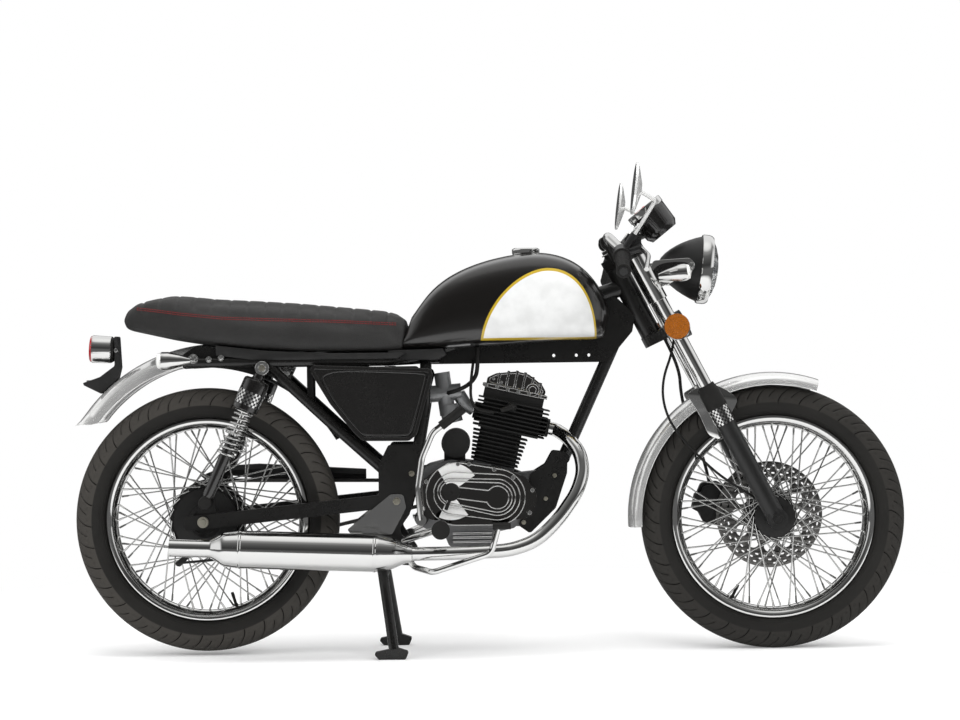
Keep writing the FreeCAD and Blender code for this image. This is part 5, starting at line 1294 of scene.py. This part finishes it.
# In the wedges the metal gives way to white diffuse, a painted sheen, under roughness brushed in rays
rays = calc(tree, "MULTIPLY_ADD", calc(tree, "SINE", calc(tree, "MULTIPLY", swing, 34.0)), 0.1, 0.62)
rough = add_node(
    tree, "ShaderNodeMix", {"data_type": "FLOAT"}, i0=wedge, i2=fed(cover_alloy, "Roughness"), i3=rays)
feed(
    cover_alloy, Base_Color=mixed(tree, flat, (0.85, 0.85, 0.84, 1), (0.16, 0.155, 0.15, 1)),
    Metallic=calc(tree, "MULTIPLY_ADD", wedge, -0.6, 1.0), Roughness=rough.outputs[0])
dressed("engine_covers", cover_alloy, 0.0022)
dressed("rocker_cover", cover_alloy, 0.002)


def on_cylinder(x, y, z):
    """A point given in millimetres along the leaning cylinder, in the bike's frame."""
    lean = math.radians(13)
    along, up = x * math.cos(lean) + z * math.sin(lean), z * math.cos(lean) - x * math.sin(lean)
    return (0.0084 + along / 1000, y / 1000 - 0.004, 0.4408 + up / 1000)


form = bmesh.new()
beads = []
for side in (-1, 1):
    add_hexes(
        form, [on_cylinder(26 * number - 58, side * 50, 188.5) for number in range(6)], (0, side, 0), 0.0064,
        0.0062)
    add_hexes(
        form, [on_cylinder(x, side * 43, z) for x, z in ((-44, 206), (62, 214), (-24, 202))], (0, side, 0),
        0.0052, 0.0062)
    for number, top in enumerate((221, 229, 234, 234, 227, 217)):
        for at in (20 * number - 33.7, 20 * number - 29.3):
            add_rod(form, on_cylinder(at, side * 45.6, 192), on_cylinder(at, side * 45.6, top), 0.0011, 8)
    for y, loop in (
            (43, [(-52, 196), (-53, 206), (-38, 217.5), (8, 231), (35, 230), (68, 213), (77, 201), (76, 196)]),
            (50, [(-66, 193), (-65, 184.5), (89, 184.5), (89, 193)])):
        line = [on_cylinder(x, side * y, z) for x, z in softened(loop, 0.15)]
        beads.append((line[0][1], [(x, z) for x, y, z in line]))
put_piece("rocker_cover_bolts", form, chrome, "chassis", edge=0.0004)
centre = on_cylinder(52, 0, 200)
beads += [(-0.0529, round_loop(centre[0], centre[2], radius, 48)) for radius in (0.0145, 0.0085)]
moulding("rocker_cover_beads", beads, 0.0013, chrome, "chassis")


def all_round(steps):
    """Directions evenly all round, as (across, up)."""
    turns = [2 * math.pi * step / steps for step in range(steps)]
    return [(math.cos(turn), math.sin(turn)) for turn in turns]


def belt_loop(near, near_radius, far, far_radius):
    """The outline of a band stretched round two circles, as points of (x, z)."""
    loop = []
    for across, up in all_round(120):
        ends = ((*near, near_radius), (*far, far_radius))
        x, z, radius = max(ends, key=lambda end: end[0] * across + end[1] * up + end[2])
        loop.append((x + radius * across, z + radius * up))
    return loop


def keyhole_loop():
    """The outline of the badge recess: a round well with a slot that runs back below the cap."""
    slot = (-CAP[0], 0.377 - CAP[1])
    loop = []
    for across, up in all_round(240):
        reach = 0.0265
        while reach < 0.1:
            x, z = BULGE[0] + reach * across - CAP[0], BULGE[1] + reach * up - CAP[1]
            share = min(max(x / slot[0], 0), 1)
            if math.hypot(x - share * slot[0], z - share * slot[1]) > 0.013 + 0.001 * share:
                break
            reach += 0.0004
        loop.append((BULGE[0] + reach * across, BULGE[1] + reach * up))
    return loop


beads = [
    (-0.1250, belt_loop((-0.077, 0.383), 0.0732, BULGE, 0.0652)),
    (-0.1320, belt_loop((-0.083, 0.385), 0.0492, BULGE, 0.0532)),
    (-0.1400, belt_loop(CAP, 0.0312, BULGE, 0.0422)), (-COVER_FACE, belt_loop(CAP, 0.0252, BULGE, 0.0342)),
    (-COVER_FACE, keyhole_loop())]
moulding("engine_cover_beads", beads, 0.0014, chrome, "chassis")
ribs = [0.2665, 0.2698, 0.2765, 0.2798, 0.2865, 0.2898]
form = rods(*[((-0.089, -0.0900, z), (0.003, -0.0900, z), 0.0009, 8) for z in ribs])
put_piece("sump_rib_edges", form, chrome, "chassis")
section = [
    (0, 0.1400), (0.0212, 0.1400), (0.0212, 0.1490), (0.0196, 0.1508), (0.0040, 0.1508), (0.0030, 0.1498),
    (0, 0.1498)]
form = turned(section, (CAP[0], 0, CAP[1]), (0, -1, 0), steps=64, closed=False)
add_rod(form, (-0.0955, -0.1475, 0.3700), (-0.1040, -0.1400, 0.3480), 0.0042, 12)
put_piece("clutch_cap", form, rubber, "chassis", edge=0.0003)
screws = [
    (-0.075, 0.453), (-0.049, 0.453), (0.010, 0.439), (0.054, 0.420), (0.099, 0.390), (0.092, 0.337),
    (-0.150, 0.413), (-0.158, 0.350)]
form = rods(*[((x, -0.1215, z), (x, -0.1268, z), 0.0058, 20, 0.0048) for x, z in screws])
put_piece("cover_screws", form, chrome, "chassis", edge=0.0005)
dressed("carburettor", case_grey, 0.0012)


# Exhaust
# Chromed header that sweeps under the engine into a long spun silencer with a slim tailpipe.

dressed("exhaust_pipe", chrome)
dressed("silencer", chrome, 0.0008)


# Foot controls
# Alloy hangers, rubber-covered pegs, chromed kick starter and pedals with rubber pads.

def is_pad(place):
    """The rubbers of the kick starter, the gear pedal and the brake pedal."""
    gear_pad = place.x > 0.045 and place.y > 0.149
    brake_pad = place.y < -0.2 and place.z > 0.3035 and place.x > 0.0035
    return place.z > 0.541 or gear_pad or brake_pad


alloy = polished("polished_alloy", (0.78, 0.78, 0.77), 0.06, 0.16)
dressed("footrests", [alloy, rubber], 0.0015, choose=lambda place: abs(place.y) > 0.197)
dressed("foot_levers", [chrome, rubber], 0.0008, choose=is_pad)
dressed("rear_brake_plate", cast_black, 0.001)
dressed("centre_stand", enamel, 0.001)


# Tail lamp and its bracket
# A chromed can with a red lens, on a folded black bracket that also takes the plate.

dressed(
    "tail_lamp", [chrome, red, rubber], 0.001,
    choose=lambda place: (place.x < -0.9475) + 2 * (place.x > -0.9005))
form = rods(
    ((-0.8885, -0.0242, 0.731), (-0.8885, -0.0275, 0.731), 0.0055, 24, 0.0045),
    ((-0.9575, -0.015, 0.6515), (-0.959, -0.015, 0.6605), 0.0048, 20, 0.003),
    ((-0.9575, 0.015, 0.6515), (-0.959, 0.015, 0.6605), 0.0048, 20, 0.003))
put_piece("tail_bolts", form, chrome, "chassis", edge=0.0006)
dressed("plate_bracket", moulded_black, 0.0015)


# Cables
# Rubber-sheathed hose and cable that run down the fork, and the plug's lead and fuel pipe
# that run from below the tank to the engine.

def cord_piece(name, route, diameter, body, replaces=None):
    """A free cable or hose on a route in millimetres."""
    route = [tuple(value / 1000 for value in place) for place in route]
    line = wire(name, diameter / 2, 4, route, 10)
    line.materials.append(rubber)
    piece = put_object(name, line)
    if replaces:
        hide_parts(replaces)
    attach(piece, body)


cord_piece("speedo_cable_sheath", [
    (640, -62, 352), (612, -66, 372), (566, -69, 400), (520, -72, 436), (470, -78, 488), (428, -84, 540),
    (410, -80, 596), (414, -62, 650), (436, -42, 704),
    (446, -32, 758), (428, -24, 812), (398, -22, 862), (374, -22, 912), (364, -22, 958)], 0.006,
    "steering", "speedo_cable")
cord_piece("brake_hose_line", [
    (532, 80, 394.6), (526, 79, 430), (506, 74, 486), (482, 71, 545), (466, 68, 605),
    *[fork_point(0.027, 0.052, rise) * 1000 for rise in (0.420, 0.4957)]],
    0.008, "steering", "brake_hose")
LEAD_END = (0.0538, -0.0860, 0.5843)
form = rods(((0.0538, -0.0763, 0.5843), LEAD_END, 0.0088, 24))
bmesh.ops.create_uvsphere(
    form, u_segments=20, v_segments=12, radius=0.0088, matrix=Matrix.Translation(LEAD_END))
add_rod(form, LEAD_END, (0.0278, -0.0860, 0.5763), 0.0078, 24, 0.0055)
cap = put_piece("plug_cap", form, rubber, "chassis", angle=45)
cord_piece("plug_lead", [
    (12, -88, 572), (-26, -84, 574), (-44, -74, 602), (-42, -62, 650), (-36, -40, 692), (-36, -16.3, 694)],
    0.007, "chassis", "engine_hoses")
cord_piece("fuel_pipe", [
    (-25, -42, 727), (-25, -42, 672), (-36, -46, 648), (-60, -56, 630), (-96, -54, 619), (-96, -34.3, 619)],
    0.010, "chassis")


# Seat
# A long padded seat in dark grey vinyl. Sewn channels run across its top, and a double row of
# red stitches follows its sides. The cover is filled by a cloth simulation.

SEAT_HALF_WIDTH = 0.118
SECTION_POINTS = 40
VOXEL = 0.0055
MOST_PUFF = 0.006
FIRST_SEAM = -0.236
SEAM_PITCH = 0.0415
SEAM_COUNT = 15
SEAM_DEPTH = 0.0032
SEAM_WIDTH = 0.0036
STITCH_PITCH = 0.0062
# Cross-sections from front to back: the foot's x, the top's x, the foot, the top, a share of the width
seat_places = [
    (-0.205, -0.188, 0.714, 0.803, 0.80), (-0.250, -0.244, 0.712, 0.815, 0.90),
    (-0.300, -0.300, 0.712, 0.821, 0.96),
    (-0.380, -0.380, 0.712, 0.829, 0.99), (-0.450, -0.450, 0.714, 0.836, 1.0),
    (-0.550, -0.550, 0.721, 0.843, 1.0),
    (-0.640, -0.640, 0.732, 0.848, 1.0), (-0.700, -0.704, 0.741, 0.855, 0.97),
    (-0.740, -0.746, 0.748, 0.858, 0.94),
    (-0.780, -0.790, 0.757, 0.856, 0.88), (-0.815, -0.832, 0.765, 0.847, 0.80),
    (-0.842, -0.856, 0.771, 0.829, 0.68),
    (-0.856, -0.866, 0.776, 0.807, 0.56)]


def seat_section(form, low_x, high_x, low, high, share):
    """One rounded cross-section of the seat, as a ring of points."""
    ring = []
    middle = low + 0.34 * (high - low)
    for step in range(SECTION_POINTS):
        angle = 2 * math.pi * (step + 0.5) / SECTION_POINTS
        across = math.copysign(abs(math.cos(angle)) ** 0.34, math.cos(angle))
        lift = math.copysign(abs(math.sin(angle)) ** 0.55, math.sin(angle))
        z = middle + lift * ((high - middle) if lift > 0 else (middle - low))
        x = low_x + (high_x - low_x) * (z - low) / (high - low)
        ring.append(form.verts.new((x, (SEAT_HALF_WIDTH * share - 0.004) * across, z)))
    return [form.edges.new((ring[i], ring[(i + 1) % SECTION_POINTS])) for i in range(SECTION_POINTS)]


form = bmesh.new()
loops = [
    seat_section(form, low_x, high_x, low + 0.004, high - 0.005, share)
    for low_x, high_x, low, high, share in seat_places]
for before, after in zip(loops, loops[1:]):
    bmesh.ops.bridge_loops(form, edges=before + after)
for end in (loops[0], loops[-1]):
    bmesh.ops.edgeloop_fill(form, edges=end)
bmesh.ops.recalc_face_normals(form, faces=form.faces)
bmesh.ops.triangulate(form, faces=[face for face in form.faces if len(face.verts) > 4])
seat_shape = bpy.data.meshes.new("seat_shape")
form.to_mesh(seat_shape)
form.free()
seat_pad = put_object("seat_cover", seat_shape)


def kept(piece):
    """Replaces the piece's mesh by the one that its modifiers give."""
    graph = bpy.context.evaluated_depsgraph_get()
    baked = bpy.data.meshes.new_from_object(piece.evaluated_get(graph))
    piece.modifiers.clear()
    old = piece.data
    piece.data = baked
    bpy.data.meshes.remove(old)


remesh = seat_pad.modifiers.new("remesh", "REMESH")
remesh.mode = "VOXEL"
remesh.voxel_size = VOXEL
kept(seat_pad)
start_places = [point.co.copy() for point in seat_pad.data.vertices]
held = seat_pad.vertex_groups.new(name="base")
held.add([point.index for point in seat_pad.data.vertices if point.normal.z < -0.5], 1.0, "REPLACE")
cloth = seat_pad.modifiers.new("cloth", "CLOTH")
cloth.settings.quality = 6
cloth.settings.mass = 0.3
cloth.settings.tension_stiffness = cloth.settings.compression_stiffness = 25
cloth.settings.shear_stiffness = 12
cloth.settings.bending_stiffness = 2.0
cloth.settings.use_pressure = True
cloth.settings.uniform_pressure_force = 3.0
cloth.settings.vertex_group_mass = "base"
cloth.settings.effector_weights.gravity = 0
cloth.point_cache.frame_start, cloth.point_cache.frame_end = 1, 20
for moment in range(1, 21):
    bpy.context.scene.frame_set(moment)
kept(seat_pad)
for point, start in zip(seat_pad.data.vertices, start_places):
    moved = point.co - start
    if moved.length > MOST_PUFF:
        point.co = start + moved * (MOST_PUFF / moved.length)


def seat_top(x):
    """Height of the seat's crown at a place along it."""
    for near, far in zip(seat_places, seat_places[1:]):
        if far[1] <= x <= near[1]:
            return near[3] + (far[3] - near[3]) * (x - near[1]) / (far[1] - near[1])
    return seat_places[0][3] if x > seat_places[0][1] else seat_places[-1][3]


def relaxed(form, rounds):
    """Evens out a form's surface."""
    for _ in range(rounds):
        bmesh.ops.smooth_vert(
            form, verts=form.verts, factor=0.5, use_axis_x=True, use_axis_y=True, use_axis_z=True)


form = bmesh.new()
form.from_mesh(seat_pad.data)
relaxed(form, 3)
bmesh.ops.subdivide_edges(form, edges=form.edges, cuts=1, use_grid_fill=True)
relaxed(form, 2)
form.normal_update()
for point in form.verts:
    seams = (FIRST_SEAM - point.co.x) / SEAM_PITCH
    nearest = min(max(round(seams), 0), SEAM_COUNT - 1)
    off_seam = abs(seams - nearest) * SEAM_PITCH
    below_top = seat_top(point.co.x) - point.co.z
    on_top = max(0.0, min(1.0, (0.034 - below_top) / 0.018))
    if -0.5 < seams < SEAM_COUNT - 0.4:
        point.co -= point.normal * math.exp(-(off_seam / SEAM_WIDTH) ** 2) * SEAM_DEPTH * on_top
form.to_mesh(seat_pad.data)
form.free()
seat_pad.data.polygons.foreach_set("use_smooth", [True] * len(seat_pad.data.polygons))

vinyl = surfaced(
    "seat_vinyl", (0.019, 0.0186, 0.0182), (0.031, 0.0303, 0.0297), 0.5, 8.0, 0.42, 0.56,
    Specular_IOR_Level=0.35)
tree = vinyl.node_tree
pebbles = add_node(tree, "ShaderNodeTexVoronoi", {"feature": "SMOOTH_F1"}, Vector=own_place(tree), Scale=620.0)
creases = calc(tree, "MULTIPLY", noise(tree, 55.0, 4.0), 1.6)
bumped(vinyl, calc(tree, "ADD", pebbles.outputs["Distance"], creases), 0.0005)
seat_pad.data.materials.clear()
seat_pad.data.materials.append(vinyl)
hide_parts("seat")
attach(seat_pad, "chassis")

# Stitches: two rows along each side, laid on the filled cover
form = bmesh.new()
form.from_mesh(seat_pad.data)
cushion = BVHTree.FromBMesh(form)
form.free()
seam_line = [
    (-0.829, 0.828), (-0.780, 0.822), (-0.725, 0.814), (-0.627, 0.803), (-0.520, 0.798), (-0.358, 0.792),
    (-0.215, 0.784)]
form = bmesh.new()
for (near_x, near_z), (far_x, far_z) in zip(seam_line, seam_line[1:]):
    stitches = round((far_x - near_x) / STITCH_PITCH)
    for stitch in range(stitches):
        for side in (-1, 1):
            for row in (-0.0022, 0.0022):
                ends = []
                for share in (stitch / stitches, (stitch + 0.68) / stitches):
                    x, z = near_x + (far_x - near_x) * share, near_z + (far_z - near_z) * share + row
                    hit = cushion.ray_cast(Vector((x, side * 0.2, z)), Vector((0, -side, 0)))[0]
                    if hit:
                        ends.append(hit + Vector((0, side * 0.0003, 0)))
                if len(ends) == 2:
                    add_rod(form, *ends, 0.0007, 5)
thread = surfaced("red_thread", (0.22, 0.006, 0.006), (0.3, 0.012, 0.012), 0.5, 60.0, 0.5, 0.7)
put_piece("seat_stitches", form, thread, "chassis", angle=60)
pan_edge = [
    (-0.640, 0.7165), (-0.560, 0.7055), (-0.450, 0.7035), (-0.215, 0.7035), (-0.196, 0.7155), (-0.380, 0.7165),
    (-0.520, 0.7235), (-0.640, 0.7375)]
side_plates("seat_pan_edge_", pan_edge, 0.090, 0.1085, 0.001, moulded_black, "chassis")
